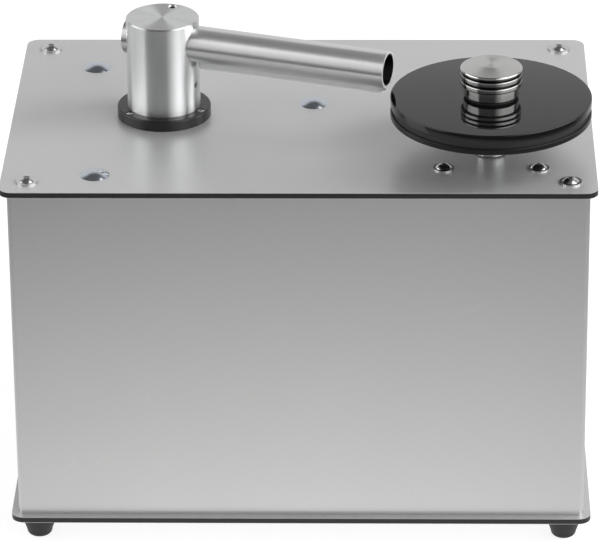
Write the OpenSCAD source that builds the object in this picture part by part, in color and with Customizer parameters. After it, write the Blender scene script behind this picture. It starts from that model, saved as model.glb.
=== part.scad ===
// Record cleaning machine: a flat aluminium case that carries a suction arm and a label-size platter.
// The arm's slotted tube draws the washing fluid off the record into a tank under the deck.
// Origin: centre of the footprint, on the surface that the feet stand on. Front is -Y, up is +Z.

/* [Case] */
// Width of the deck and base plates
plate_w = 294; // [280:1:320]
// Depth of the deck and base plates
plate_d = 196; // [190:1:220]
// Thickness of the composite plates
plate_t = 3; // [2:0.5:5]
// Corner radius of the plates
plate_corner_r = 6.5; // [3:0.5:10]
// How far the plates reach past the walls
plate_overhang = 3.75; // [3:0.25:6]
// Height of the walls
wall_h = 178; // [170:1:200]
// Thickness of the wall sheet
sheet_t = 1.5; // [1:0.25:2]
// Outer radius of the folded wall corners
bend_r = 2.5; // [2.25:0.25:4]
// Width of the folded flanges that carry the back panel
flange_w = 22; // [21:1:26]

/* [Feet and posts] */
// Height of the rubber feet
foot_h = 13; // [10:0.5:16]
// Diameter of a foot where it meets the base plate
foot_top_d = 20; // [15:0.5:22]
// Diameter of a foot where it stands
foot_base_d = 13; // [10:0.5:14]
// Rounding of a foot's lower edge
foot_edge_r = 3; // [1:0.25:3.5]
// Distance of the posts and feet from the plate edges
post_inset = 13.3; // [12.7:0.1:15]
// Diameter of the corner posts
post_d = 12; // [10:0.5:13]

/* [Platter] */
// Direction from the column to the spindle, from +X towards the back
spindle_angle = -16.2; // [-18:0.1:-14]
// Gap between the arm's end and the clamp disc
arm_gap = 1.35; // [1.1:0.05:6]
// Height of the platter's underside over the deck
platter_lift = 20.2; // [18:0.1:26]
// Diameter of the platter and the clamp disc
platter_d = 100; // [95:1:101]
// Thickness of the platter
platter_t = 3; // [2.5:0.25:4]
// Thickness of the rubber label mat
mat_t = 1.2; // [0.8:0.1:2]
// Thickness of the clamp's rubber seal
seal_t = 2; // [1.5:0.25:4]
// Width of the seal ring
seal_w = 8; // [5:0.5:14]
// Inset of the mat and the seal from the platter's edge
mat_inset = 1; // [0.5:0.25:3]
// Thickness of the clamp disc
clamp_t = 4.2; // [3.5:0.1:6]
// Diameter of the platter hub
hub_d = 16; // [15:0.5:20]
// Diameter of the record pin
pin_d = 7.1; // [6.9:0.05:7.2]
// Diameter of the clamping thread
thread_d = 6; // [5:0.5:6]

/* [Clamp knob] */
// Diameter of the knob's grip rings
knob_ring_d = 30.8; // [29:0.1:36]
// Diameter of the knob's neck
knob_neck_d = 27.8; // [26:0.1:28.5]
// Height of the neck up to the first ring
knob_neck_h = 5.3; // [4:0.1:8]
// Height of one grip ring
knob_ring_h = 2.9; // [2.2:0.1:4]
// Height of the groove between the rings
knob_groove_h = 0.6; // [0.5:0.1:1.2]
// Height of the rim under the knob's cone
knob_rim_h = 2.1; // [1.7:0.1:3]
// Diameter of the edge of the knob's cone
knob_cone_d = 29; // [27:0.1:29]
// Diameter of the flat on top of the knob
knob_flat_d = 13.6; // [8:0.1:18]
// Height of the knob's cone
knob_cone_h = 2; // [1.5:0.1:4]
// Thickness of the washer under the knob
knob_washer_t = 1.2; // [0.8:0.1:2]

/* [Suction arm] */
// Column's place to the right of the centre
column_x = -70; // [-74:1:-68]
// Column's place behind the centre
column_y = 0; // [-3:1:3]
// Diameter of the column
column_d = 37; // [36:0.5:38]
// Height of the column's top over the deck
column_top = 53; // [52:0.5:60]
// Outer diameter of the arm tube
tube_d = 18.5; // [17:0.5:19]
// Wall of the arm tube
tube_wall = 1.6; // [1.4:0.1:2]
// Height of the tube's axis over the deck
tube_height = 40.75; // [40.5:0.25:42]
// Reach of the tube from the column's axis
arm_reach = 120.5; // [110:0.5:124]
// Direction of the arm at rest, from +X towards the back
arm_angle = -19; // [-24:1:-10]
// How far the suction draws the arm down
arm_lift = 4; // [3:0.5:4]
// How far the arm swings away from the record
arm_swing = 100; // [80:5:120]
// Width of the suction slot
slot_w = 2.4; // [2:0.1:3]
// Width of the lip that carries the slot
lip_w = 8; // [6:0.25:8.25]
// Height of the lip below the tube
lip_drop = 1.7; // [1.5:0.1:3]
// Thickness of the felt under the lip
felt_t = 0.8; // [0.5:0.1:1.5]
// Diameter of the base ring
ring_d = 47.5; // [47:0.5:52]
// Height of the base ring
ring_h = 5.5; // [5.5:0.25:8]

/* [Suction unit] */
// Outer diameter of the tank's wall
tank_d = 124; // [110:1:126]
// Wall of the tank
tank_wall = 2.5; // [2:0.25:3]
// Height of the tank
tank_h = 74; // [66:1:76]
// Outer diameter of the fan casing
fan_case_d = 120; // [110:1:122]
// Height of the fan casing
fan_case_h = 28; // [26:1:32]
// Number of the fan's vanes
fan_vanes = 9; // [6:1:12]
// Diameter of the fan motor
fan_motor_d = 82; // [70:1:84]
// Height of the fan motor below its casing
fan_motor_h = 42; // [36:1:46]

/* [Drive] */
// Width of the gear unit
gear_w = 60; // [56:1:62]
// Depth of the gear unit
gear_d = 52; // [50:1:58]
// Height of the gear unit
gear_h = 32; // [26:1:36]
// Diameter of the drive motor
drive_motor_d = 37; // [32:1:40]
// Length of the drive motor
drive_motor_h = 58; // [45:1:70]
// Diameter of the drive shaft
shaft_d = 8; // [6:0.5:8]

/* [Hidden] */
$fn = 96;

// Clearances
run_gap = 0.05;     // radial gap of a running fit
seat_gap = 0.05;    // radial gap of a seated or screwed fit
pass_gap = 0.4;     // radial gap of a hole that a screw or tube passes through
cut = 1;            // how far a cutting tool runs past a face

// Levels
base_z = foot_h;
floor_z = base_z + plate_t;
roof_z = floor_z + wall_h;
deck_z = roof_z + plate_t;
case_w = plate_w - 2 * plate_overhang;
case_d = plate_d - 2 * plate_overhang;
post_x = plate_w / 2 - post_inset;
post_y = plate_d / 2 - post_inset;
panel_y = case_d / 2 - sheet_t;

// Screws and studs
corner_screw_d = 5;
corner_screw_l = 16;
corner_collar_d = 11;
corner_collar_h = 0.8;
corner_head_d = 9.4;
corner_head_h = 2.7;
corner_socket = 3;
stud_d = 6;
stud_grip = 10;
stud_plate_d = 10;
stud_plate_t = 1.5;
stud_depth = 6;
motor_screw_d = 4;
motor_screw_l = 14;
motor_screw_dx = 23.5;
motor_screw_dy = 20;
motor_collar_d = 10.4;
motor_collar_h = 0.6;
motor_head_d = 8.8;
motor_head_h = 2.5;
motor_offset = 8;
bush_wall = 2.5;
bush_d = shaft_d + 2 * bush_wall;
shaft_grip = 22;
shaft_end_room = 2;
panel_screw_d = 3;
panel_screw_l = 6;
panel_screw_in = 4;
panel_head_d = 5.7;
panel_head_h = 1.6;
panel_screw_inset = 18;
panel_screw_rows = [panel_screw_inset, wall_h / 2, wall_h - panel_screw_inset];

// Bolts that hang the suction unit from the deck
bolt_d = 6;
bolt_head_d = 15;
bolt_head_h = 2.7;
bolt_neck = 6;
ear_d = 16;
ear_neck = 14;
support_tube_d = 9;

// Column, pivot and lift
column_wall = 2.5;
column_crown = 28.5;
pivot_wall = 3.5;
pivot_d = column_d - 2 * column_wall;
pivot_bore = pivot_d - 2 * pivot_wall;
pivot_top = column_top - column_crown;
pivot_flange_d = 60;
pivot_flange_t = 4;
spigot_d = 24;
spigot_bore = 18;
spigot_l = 16;
column_foot = 1;
chamber_room = 1.5;
chamber_top = pivot_top + arm_lift + chamber_room;
port_d = 15;
washer_t = 1;
spring_wire = 1.8;
spring_side_gap = 1;
spring_d = pivot_bore - 2 * spring_side_gap;
spring_turns = 7;
guide_z = 19;
guide_angle = -5.5;
guide_d = 4;
guide_tip_d = 3;
guide_tip_r = pivot_d / 2 - 1.8;
height_screw_r = 14.4;
height_screw_angle = 91;
height_screw_d = 5;
ring_screw_r = (column_d / 2 + ring_d / 2) / 2 - 0.25;
ring_screw_d = 2.5;
ring_screw_head_d = 3.8;
ring_screw_first = 216;
ring_screw_sink = 1.4;
ring_fillet = 0.8;

// Arm tube
tube_bore = tube_d - 2 * tube_wall;
tube_rear = column_d / 2 + 0.5;
lip_start = column_d / 2 + 1;
lip_end = arm_reach - 1;
lip_flat = tube_d / 2 - sqrt(pow(tube_d / 2, 2) - pow(lip_w / 2, 2));
slot_start = lip_start + 5;
end_plug_l = 5;
end_plug_recess = 7;
slot_end = arm_reach - end_plug_recess - end_plug_l - 1;
rear_plug_l = 8;

// The spindle stands past the arm's end by the clamp disc's radius
spindle_reach = arm_reach + arm_gap + platter_d / 2;
spindle_x = column_x + spindle_reach * cos(spindle_angle);
spindle_y = column_y + spindle_reach * sin(spindle_angle);

// Platter stack, as heights over the deck
hub_foot = 0.6;
platter_top = platter_lift + platter_t;
mat_top = platter_top + mat_t;
seal_top = mat_top + seal_t;
clamp_top = seal_top + clamp_t;
spindle_flange_t = 1.2;
spindle_shank_d = 8;
spindle_shank_l = 7;
shaft_seat = platter_lift - spindle_shank_l - 1;
pin_top = seal_top - 0.4;
spindle_top = clamp_top + 8.4;
mat_hole = hub_d + 2;
disc_edge = 0.4;
stem_d = 10;
clip_t = 1;
clip_d = 15.5;
clip_groove_d = 8.6;
clip_recess_d = 18;
clip_recess_t = 1.4;
knob_foot = clamp_top + knob_washer_t;
grub_d = 4;

// Suction unit
spacer_h = pivot_flange_t + 0.5;
lid_t = 5;
lid_top = roof_z - spacer_h;
rim_w = 3;
rim_d = tank_d + 2 * rim_w;
rim_h = 4;
gasket_t = 2;
bolt_angles = [122.35, 247.95, 9.7];
bolt_gaps = [6, 17.5, 12.1];
bolt_points = [
    for (i = [0 : 2])
        let (reach = rim_d / 2 + bolt_gaps[i])
            [column_x + reach * cos(bolt_angles[i]), column_y + reach * sin(bolt_angles[i])]
];
tank_top = lid_top - lid_t - gasket_t;
tank_floor = tank_top - tank_h;
tank_floor_t = 3;
standpipe_d = 36;
standpipe_wall = 2.5;
standpipe_h = 48;
standpipe_flange_d = 46;
standpipe_flange_t = 2;
hood_d = 66;
hood_t = 2;
hood_leg = 3;
hood_lift = 10;
cover_t = 4;
fan_top = tank_floor - cover_t;
fan_floor = fan_top - fan_case_h;
fan_wall = 3;
fan_rim_gap = 4;
fan_d = fan_case_d - 2 * fan_wall - 2 * fan_rim_gap;
fan_gap = 3;
vane_t = 1.6;
fan_plate_t = 1.5;
fan_eye_d = 34;
fan_hub_d = 16;
fan_shaft_d = 8;
fan_shaft_depth = 20;
cradle_t = 4;
cradle_z = fan_floor - cradle_t;
nut_h = 5;
nut_w = 10;
bolt_end = cradle_z - nut_h - 4;
duct_w = 44;
duct_h = 22;
duct_wall = 2;
duct_z = fan_floor + fan_wall + duct_h / 2 - 1;
grille_w = duct_w + 8;
grille_h = duct_h + 10;
grille_t = 2.5;
grille_bars = 4;
grille_bar = 2;

// Drain
nipple_angle = -35;
nipple_d = 10;
nipple_bore = 6.5;
nipple_l = 14;
nipple_lift = 8;
nipple_z = tank_floor + nipple_lift;
hose_wall = 2;
hose_d = nipple_d + 2 * hose_wall + 2 * seat_gap;
hose_bend = 16;
hose_start = 2;
hose_run = 8;
hose_end = 1;
drain_reach = tank_d / 2 + nipple_l + hose_run + hose_bend;
drain_x = column_x + drain_reach * cos(nipple_angle);
drain_y = column_y + drain_reach * sin(nipple_angle);
outlet_flange_d = 26;
outlet_flange_t = 3;
outlet_barb_h = 16;
outlet_body_d = 18;
outlet_drop = 3;
cock_d = 12;
cock_grip_d = 20;
cock_grip_h = 5;
cock_grip_t = 5;
cock_rim_d = 14.4;
cock_rim_h = 1.5;
cock_top = base_z + 2.2;
cock_neck = cock_top - cock_rim_h - base_z + outlet_drop;
cock_port_d = 3.6;
cock_port_r = 3;

// Mains inlet, at the back
inlet_x = 92;
inlet_z = 45;
inlet_w = 50;
inlet_h = 28;
inlet_flange_t = 3;
inlet_body_w = 28;
inlet_body_h = 21;
inlet_depth = 22;
inlet_socket_w = 24.4;
inlet_socket_h = 17;
inlet_socket_l = 19;
inlet_screw_x = 20;
inlet_screw_sink = 1.2;
inlet_pin = [2, 4];
inlet_pin_l = 15;

// Rocker switches, in the right wall
switch_y = [24, 50];
switch_z = 146;
switch_w = 15;
switch_h = 22;
switch_bezel = 1.4;
switch_body_w = 13;
switch_body_h = 20;
switch_depth = 14;
switch_mouth_w = 11.2;
switch_mouth_h = 17.8;
rocker_w = 10.8;
rocker_h = 16.2;
rocker_tilt = 9;
rocker_pivot = 1;
rocker_pin_d = 2.4;
wall_x = case_w / 2;

// Power board
board_w = 86;
board_d = 74;
board_t = 1.6;
board_x = 84;
board_y = 36;
board_lift = 8;
pillar_d = 7;
pillar_inset = 5;
transformer_w = 34;
transformer_d = 40;
transformer_h = 30;
transformer_x = 8;
transformer_y = 10;
capacitor_d = 18;
capacitor_h = 32;
capacitor_x = 18;
capacitor_y = 20;
relay_w = 16;
relay_d = 28;
relay_h = 16;
relay_x = 8;
relay_y = -26;
sink_w = 4;
sink_d = 46;
sink_h = 24;
sink_x = 34;
sink_y = -30;

// A flat outline with round corners
module rounded_rect(w, d, r) {
    square([w - 2 * r, d], center = true);
    square([w, d - 2 * r], center = true);
    for (sx = [-1, 1])
        for (sy = [-1, 1])
            translate([sx * (w / 2 - r), sy * (d / 2 - r)])
                circle(r = r);
}

// A straight slot outline along X, with round ends
module slot_shape(from, to, w) {
    translate([from + w / 2, -w / 2])
        square([to - from - w, w]);
    translate([from + w / 2, 0])
        circle(d = w);
    translate([to - w / 2, 0])
        circle(d = w);
}

// A plain tube standing on z = 0
module pipe(outer, inner, h) {
    difference() {
        cylinder(d = outer, h = h);
        translate([0, 0, -cut])
            cylinder(d = inner, h = h + 2 * cut);
    }
}

// A low domed outline, for the spherical heads: half profile with its flat side on z = 0
module dome(d, h) {
    ball_r = (pow(d / 2, 2) + h * h) / (2 * h);
    intersection() {
        translate([0, 0, h - ball_r])
            sphere(r = ball_r);
        cylinder(d = d + cut, h = h + cut);
    }
}

// A hexagonal hole for a key, opening upwards at z = 0
module hex_socket(across, depth) {
    translate([0, 0, -depth])
        cylinder(d = across / cos(30), h = depth + cut, $fn = 6);
}

// A button head screw with its head standing on z = 0
module button_screw(d, l, head_d, head_h, across, collar_d = 0, collar_h = 0) {
    difference() {
        union() {
            dome(head_d, head_h);
            if (collar_d > 0)
                cylinder(d = collar_d, h = collar_h);
        }
        translate([0, 0, head_h])
            hex_socket(across, head_h * 0.6);
    }
    translate([0, 0, -l])
        cylinder(d = d, h = l);
}

// The four corners that the posts, feet and corner screws share
module at_corners() {
    for (sx = [-1, 1])
        for (sy = [-1, 1])
            translate([sx * post_x, sy * post_y, 0])
                children();
}

// The four screws of the gear unit
module at_motor_screws() {
    for (sx = [-1, 1])
        for (sy = [-1, 1])
            translate([spindle_x + sx * motor_screw_dx, spindle_y + sy * motor_screw_dy, 0])
                children();
}

module at_bolts() {
    for (p = bolt_points)
        translate([p[0], p[1], 0])
            children();
}

module at_column() {
    translate([column_x, column_y, 0])
        children();
}

module at_spindle() {
    translate([spindle_x, spindle_y, 0])
        children();
}

module at_ring_screws() {
    at_column()
        for (i = [0 : 2])
            rotate([0, 0, ring_screw_first + i * 120])
                translate([ring_screw_r, 0, 0])
                    children();
}

// The arm's own frame: X along the tube, from the column's axis
module at_arm() {
    at_column()
        rotate([0, 0, arm_angle])
            children();
}

module at_panel_screws() {
    for (sx = [-1, 1])
        for (z = panel_screw_rows)
            translate([sx * (case_w / 2 - flange_w + panel_screw_in), 0, floor_z + z])
                children();
}

module at_inlet_screws() {
    for (sx = [-1, 1])
        translate([inlet_x + sx * inlet_screw_x, 0, inlet_z])
            children();
}

// Case

module top_plate() {
    color("silver")
        translate([0, 0, roof_z])
            difference() {
                linear_extrude(plate_t)
                    rounded_rect(plate_w, plate_d, plate_corner_r);
                translate([0, 0, -cut]) {
                    at_corners()
                        cylinder(d = corner_screw_d + pass_gap, h = plate_t + 2 * cut);
                    at_motor_screws()
                        cylinder(d = motor_screw_d + pass_gap, h = plate_t + 2 * cut);
                    at_ring_screws()
                        cylinder(d = ring_screw_d + pass_gap, h = plate_t + 2 * cut);
                    at_column()
                        cylinder(d = pivot_d + 2 * seat_gap, h = plate_t + 2 * cut);
                    at_spindle()
                        cylinder(d = bush_d + 2 * seat_gap, h = plate_t + 2 * cut);
                    at_bolts()
                        linear_extrude(plate_t + 2 * cut)
                            square(bolt_neck + 2 * seat_gap, center = true);
                }
            }
}

module bottom_plate() {
    color("dimgray")
        translate([0, 0, base_z])
            difference() {
                linear_extrude(plate_t)
                    rounded_rect(plate_w, plate_d, plate_corner_r);
                translate([0, 0, -cut]) {
                    at_corners()
                        cylinder(d = stud_d + pass_gap, h = plate_t + 2 * cut);
                    translate([drain_x, drain_y, 0])
                        cylinder(d = outlet_body_d + pass_gap, h = plate_t + 2 * cut);
                }
            }
}

// Front and side walls, folded from one sheet, with flanges that carry the back panel
module body_shell() {
    wrap_d = case_d - sheet_t;
    color("lightgray")
        difference() {
            translate([0, -sheet_t / 2, floor_z])
                linear_extrude(wall_h)
                    difference() {
                        rounded_rect(case_w, wrap_d, bend_r);
                        rounded_rect(case_w - 2 * sheet_t, wrap_d - 2 * sheet_t, bend_r - sheet_t);
                        translate([0, wrap_d / 2])
                            square([case_w - 2 * flange_w, 4 * sheet_t], center = true);
                    }
            at_panel_screws()
                translate([0, panel_y - sheet_t - cut, 0])
                    rotate([-90, 0, 0])
                        cylinder(d = panel_screw_d + 2 * seat_gap, h = sheet_t + 2 * cut);
            for (y = switch_y)
                translate([wall_x - sheet_t / 2, y, switch_z])
                    cube([3 * sheet_t, switch_body_w + 0.2, switch_body_h + 0.2], center = true);
        }
}

module back_panel() {
    color("lightgray")
        difference() {
            translate([-case_w / 2, panel_y, floor_z])
                cube([case_w, sheet_t, wall_h]);
            at_panel_screws()
                translate([0, panel_y - cut, 0])
                    rotate([-90, 0, 0])
                        cylinder(d = panel_screw_d + pass_gap, h = sheet_t + 2 * cut);
            at_inlet_screws()
                translate([0, panel_y - cut, 0])
                    rotate([-90, 0, 0])
                        cylinder(d = panel_screw_d + 2 * seat_gap, h = sheet_t + 2 * cut);
            translate([inlet_x, panel_y + sheet_t / 2, inlet_z])
                cube([inlet_body_w + pass_gap, 3 * sheet_t, inlet_body_h + pass_gap], center = true);
            translate([column_x, panel_y + sheet_t / 2, duct_z])
                cube([duct_w, 3 * sheet_t, duct_h], center = true);
        }
}

// Six screws of the panel, and the two that hold the mains inlet on its flange
module back_panel_screws() {
    color("gainsboro") {
        at_panel_screws()
            translate([0, panel_y + sheet_t, 0])
                rotate([-90, 0, 0])
                    button_screw(panel_screw_d, panel_screw_l, panel_head_d, panel_head_h, 2);
        at_inlet_screws()
            translate([0, panel_y + sheet_t + inlet_flange_t - inlet_screw_sink, 0])
                rotate([-90, 0, 0])
                    button_screw(panel_screw_d, panel_screw_l, panel_head_d, panel_head_h, 2);
    }
}

module corner_posts() {
    color("silver")
        at_corners()
            translate([0, 0, floor_z])
                difference() {
                    cylinder(d = post_d, h = wall_h);
                    translate([0, 0, -cut])
                        cylinder(d = stud_d + 2 * seat_gap, h = stud_grip + 2 * cut);
                    translate([0, 0, wall_h + plate_t - corner_screw_l - cut])
                        cylinder(d = corner_screw_d + 2 * seat_gap, h = corner_screw_l + cut);
                }
}

module corner_screws() {
    color("gainsboro")
        at_corners()
            translate([0, 0, deck_z])
                button_screw(corner_screw_d, corner_screw_l, corner_head_d, corner_head_h,
                    corner_socket, corner_collar_d, corner_collar_h);
}

// Rubber feet: a straight taper that ends in a rounded edge
module feet() {
    edge_x = foot_base_d / 2 - foot_edge_r;
    color("black")
        at_corners()
            difference() {
                rotate_extrude() {
                    polygon([
                        [0, 0],
                        [edge_x, 0],
                        [edge_x + foot_edge_r, foot_edge_r],
                        [foot_top_d / 2, foot_h],
                        [0, foot_h]
                    ]);
                    intersection() {
                        translate([edge_x, foot_edge_r])
                            circle(r = foot_edge_r);
                        translate([edge_x - cut, 0])
                            square([foot_edge_r + cut, foot_edge_r]);
                    }
                }
                stud_pocket();
            }
}

module stud_pocket() {
    translate([0, 0, foot_h - stud_depth])
        cylinder(d = stud_plate_d, h = stud_plate_t);
    translate([0, 0, foot_h - stud_depth])
        cylinder(d = stud_d, h = stud_depth + cut);
}

// Threaded studs, bonded into the feet and screwed into the posts
module foot_studs() {
    color("gainsboro")
        at_corners()
            translate([0, 0, foot_h - stud_depth]) {
                cylinder(d = stud_plate_d, h = stud_plate_t);
                cylinder(d = stud_d, h = stud_depth + plate_t + stud_grip);
            }
}

// Hangers of the suction unit

module carriage_bolts() {
    color("lightsteelblue")
        at_bolts() {
            translate([0, 0, deck_z])
                dome(bolt_head_d, bolt_head_h);
            translate([0, 0, deck_z - plate_t])
                linear_extrude(plate_t)
                    square(bolt_neck, center = true);
            translate([0, 0, bolt_end])
                cylinder(d = bolt_d, h = roof_z - bolt_end);
        }
}

module bolt_spacers() {
    color("black")
        at_bolts()
            translate([0, 0, lid_top])
                pipe(ear_d - 2, bolt_d + pass_gap, spacer_h);
}

module support_tubes() {
    color("silver")
        at_bolts()
            translate([0, 0, cradle_z + cradle_t])
                pipe(support_tube_d, bolt_d + pass_gap, lid_top - lid_t - cradle_z - cradle_t);
}

module bolt_nuts() {
    color("gainsboro")
        at_bolts()
            translate([0, 0, cradle_z - nut_h])
                difference() {
                    union() {
                        cylinder(d = nut_w / cos(30), h = nut_h, $fn = 6);
                        translate([0, 0, nut_h - 1])
                            cylinder(d = nut_w + 4, h = 1);
                    }
                    translate([0, 0, -cut])
                        cylinder(d = bolt_d + 2 * seat_gap, h = nut_h + 2 * cut);
                }
}

// A round plate with an ear that reaches to each bolt
module eared_plate(d, t) {
    linear_extrude(t)
        difference() {
            union() {
                translate([column_x, column_y])
                    circle(d = d);
                for (p = bolt_points) {
                    reach = norm([p[0] - column_x, p[1] - column_y]);
                    translate([p[0], p[1]])
                        circle(d = ear_d);
                    translate([column_x, column_y])
                        rotate(atan2(p[1] - column_y, p[0] - column_x))
                            translate([d / 2 - ear_d, -ear_neck / 2])
                                square([reach - d / 2 + ear_d, ear_neck]);
                }
            }
            for (p = bolt_points)
                translate([p[0], p[1]])
                    circle(d = bolt_d + pass_gap);
        }
}

// Drive of the platter

module gear_unit() {
    color("darkgray")
        translate([0, 0, roof_z - gear_h])
            difference() {
                at_spindle()
                    linear_extrude(gear_h)
                        rounded_rect(gear_w, gear_d, 4);
                at_motor_screws()
                    translate([0, 0, gear_h - motor_screw_l + plate_t - cut])
                        cylinder(d = motor_screw_d + 2 * seat_gap, h = motor_screw_l + cut);
                at_spindle()
                    translate([0, 0, gear_h - shaft_grip - shaft_end_room])
                        cylinder(d = shaft_d + 2 * run_gap, h = shaft_grip + shaft_end_room + cut);
            }
}

module drive_motor() {
    color("gray")
        translate([spindle_x + motor_offset, spindle_y, roof_z - gear_h - drive_motor_h]) {
            cylinder(d = drive_motor_d, h = drive_motor_h);
            translate([0, 0, -3])
                cylinder(d = drive_motor_d - 14, h = 3);
            for (sx = [-1, 1])
                translate([sx * 8 - 0.4, -2.5, -7])
                    cube([0.8, 5, 7.5]);
        }
}

module motor_screws() {
    color("gainsboro")
        at_motor_screws()
            translate([0, 0, deck_z])
                button_screw(motor_screw_d, motor_screw_l, motor_head_d, motor_head_h, 2.5,
                    motor_collar_d, motor_collar_h);
}

module shaft_bush() {
    color("goldenrod")
        at_spindle()
            translate([0, 0, roof_z])
                pipe(bush_d, shaft_d + 2 * run_gap, plate_t);
}

module output_shaft() {
    color("gainsboro")
        at_spindle()
            translate([0, 0, roof_z - shaft_grip])
                cylinder(d = shaft_d, h = shaft_grip + plate_t + shaft_seat - 0.5);
}

// Platter and clamp

module platter_hub() {
    color("silver")
        at_spindle()
            translate([0, 0, deck_z])
                difference() {
                    translate([0, 0, hub_foot])
                        cylinder(d = hub_d, h = platter_lift - hub_foot);
                    translate([0, 0, hub_foot - cut])
                        cylinder(d = shaft_d + 2 * seat_gap, h = shaft_seat - hub_foot + cut);
                    translate([0, 0, platter_lift - spindle_shank_l])
                        cylinder(d = spindle_shank_d + 2 * seat_gap, h = spindle_shank_l + cut);
                    translate([0, 0, shaft_seat / 2 + 2])
                        rotate([-90, 0, 0])
                            cylinder(d = grub_d + 2 * seat_gap, h = hub_d);
                }
}

module hub_grub_screw() {
    color("dimgray")
        at_spindle()
            translate([0, 0, deck_z + shaft_seat / 2 + 2])
                rotate([-90, 0, 0])
                    difference() {
                        translate([0, 0, shaft_d / 2 + seat_gap])
                            cylinder(d = grub_d, h = (hub_d - shaft_d) / 2 - 0.4);
                        translate([0, 0, hub_d / 2 - 0.4 + seat_gap])
                            hex_socket(2, 1.6);
                    }
}

// A disc with slightly broken edges
module soft_disc(d, t) {
    rotate_extrude()
        polygon([
            [0, 0],
            [d / 2 - disc_edge, 0],
            [d / 2, disc_edge],
            [d / 2, t - disc_edge],
            [d / 2 - disc_edge, t],
            [0, t]
        ]);
}

module platter_disc() {
    color([0.08, 0.08, 0.09])
        at_spindle()
            translate([0, 0, deck_z + platter_lift])
                difference() {
                    soft_disc(platter_d, platter_t);
                    translate([0, 0, -cut])
                        cylinder(d = spindle_shank_d + 2 * seat_gap, h = platter_t + 2 * cut);
                    translate([0, 0, platter_t - spindle_flange_t])
                        cylinder(d = hub_d + 2 * seat_gap, h = spindle_flange_t + cut);
                }
}

module platter_mat() {
    color([0.12, 0.12, 0.12])
        at_spindle()
            translate([0, 0, deck_z + platter_top])
                pipe(platter_d - 2 * mat_inset, mat_hole, mat_t);
}

// Record pin with the clamping thread; its flange holds the platter on the hub
module spindle() {
    color("gainsboro")
        at_spindle()
            translate([0, 0, deck_z]) {
                translate([0, 0, platter_lift - spindle_shank_l + 0.5])
                    cylinder(d = spindle_shank_d, h = spindle_shank_l - 0.5 + platter_t - 0.1);
                translate([0, 0, platter_top - spindle_flange_t])
                    cylinder(d = hub_d, h = spindle_flange_t);
                translate([0, 0, platter_top - 0.1])
                    cylinder(d = pin_d, h = pin_top - platter_top + 0.1);
                translate([0, 0, pin_top - 0.1])
                    cylinder(d = thread_d, h = spindle_top - pin_top - 0.7);
                translate([0, 0, spindle_top - 0.8])
                    cylinder(d1 = thread_d, d2 = thread_d - 1.6, h = 0.8);
            }
}

module clamp_disc() {
    color([0.05, 0.05, 0.06])
        at_spindle()
            translate([0, 0, deck_z + seal_top])
                difference() {
                    soft_disc(platter_d, clamp_t);
                    translate([0, 0, -cut])
                        cylinder(d = stem_d + 2 * run_gap, h = clamp_t + 2 * cut);
                    translate([0, 0, -cut])
                        cylinder(d = clip_recess_d, h = clip_recess_t + cut);
                }
}

module clamp_seal() {
    color([0.1, 0.1, 0.1])
        at_spindle()
            translate([0, 0, deck_z + mat_top])
                pipe(platter_d - 2 * mat_inset, platter_d - 2 * mat_inset - 2 * seal_w, seal_t);
}

// Turned knob: a neck, two grip rings, a rim and a shallow cone with a flat centre, on a stem
// that passes through the clamp disc. Its blind bore runs on the spindle's thread.
module knob() {
    ring_r = knob_ring_d / 2;
    neck_r = knob_neck_d / 2;
    cone_r = knob_cone_d / 2;
    round_r = 0.8;
    ring_z = [knob_neck_h, knob_neck_h + knob_ring_h + knob_groove_h];
    rim_z = ring_z[1] + knob_ring_h + knob_groove_h;
    cone_z = rim_z + knob_rim_h;
    stem_foot = seal_top + clip_recess_t - clip_t - 0.6 - knob_foot;
    clip_z = seal_top + clip_recess_t - clip_t - 0.2 - knob_foot;
    bore_h = spindle_top - knob_foot - stem_foot + cut + 1;
    color("gainsboro")
        at_spindle()
            translate([0, 0, deck_z + knob_foot])
                difference() {
                    union() {
                        rotate_extrude() {
                            polygon([
                                [0, 0],
                                [neck_r - round_r, 0],
                                [neck_r, round_r],
                                [neck_r, rim_z + knob_rim_h / 2],
                                [cone_r, cone_z],
                                [knob_flat_d / 2, cone_z + knob_cone_h],
                                [0, cone_z + knob_cone_h - 0.2]
                            ]);
                            for (z = ring_z)
                                knob_ring_profile(ring_r, neck_r, z, knob_ring_h, round_r);
                            knob_ring_profile(ring_r, neck_r, rim_z, knob_rim_h, round_r);
                        }
                        translate([0, 0, stem_foot])
                            cylinder(d = stem_d, h = cut - stem_foot);
                    }
                    translate([0, 0, stem_foot - cut])
                        cylinder(d = thread_d + 2 * run_gap, h = bore_h);
                    translate([0, 0, clip_z])
                        pipe(stem_d + cut, clip_groove_d, clip_t);
                }
}

// Half profile of one grip ring, with both outer corners rounded
module knob_ring_profile(ring_r, neck_r, z, h, round_r) {
    translate([neck_r - cut, z])
        square([ring_r - neck_r + cut - round_r, h]);
    translate([neck_r - cut, z + round_r])
        square([ring_r - neck_r + cut, h - 2 * round_r]);
    for (c = [round_r, h - round_r])
        translate([ring_r - round_r, z + c])
            circle(r = round_r);
}

module knob_washer() {
    color([0.06, 0.06, 0.06])
        at_spindle()
            translate([0, 0, deck_z + clamp_top])
                pipe(knob_neck_d - 2.6, stem_d + 2 * run_gap, knob_washer_t);
}

// Retaining clip on the knob's stem, open at one side
module knob_clip() {
    color("dimgray")
        at_spindle()
            translate([0, 0, deck_z + seal_top + clip_recess_t - clip_t - 0.2 + seat_gap])
                difference() {
                    pipe(clip_d, clip_groove_d + 2 * seat_gap, clip_t - 2 * seat_gap);
                    translate([0, -clip_groove_d * 0.35, -cut])
                        cube([clip_d, clip_groove_d * 0.7, clip_t + 2 * cut]);
                }
}

// Suction arm

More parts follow.
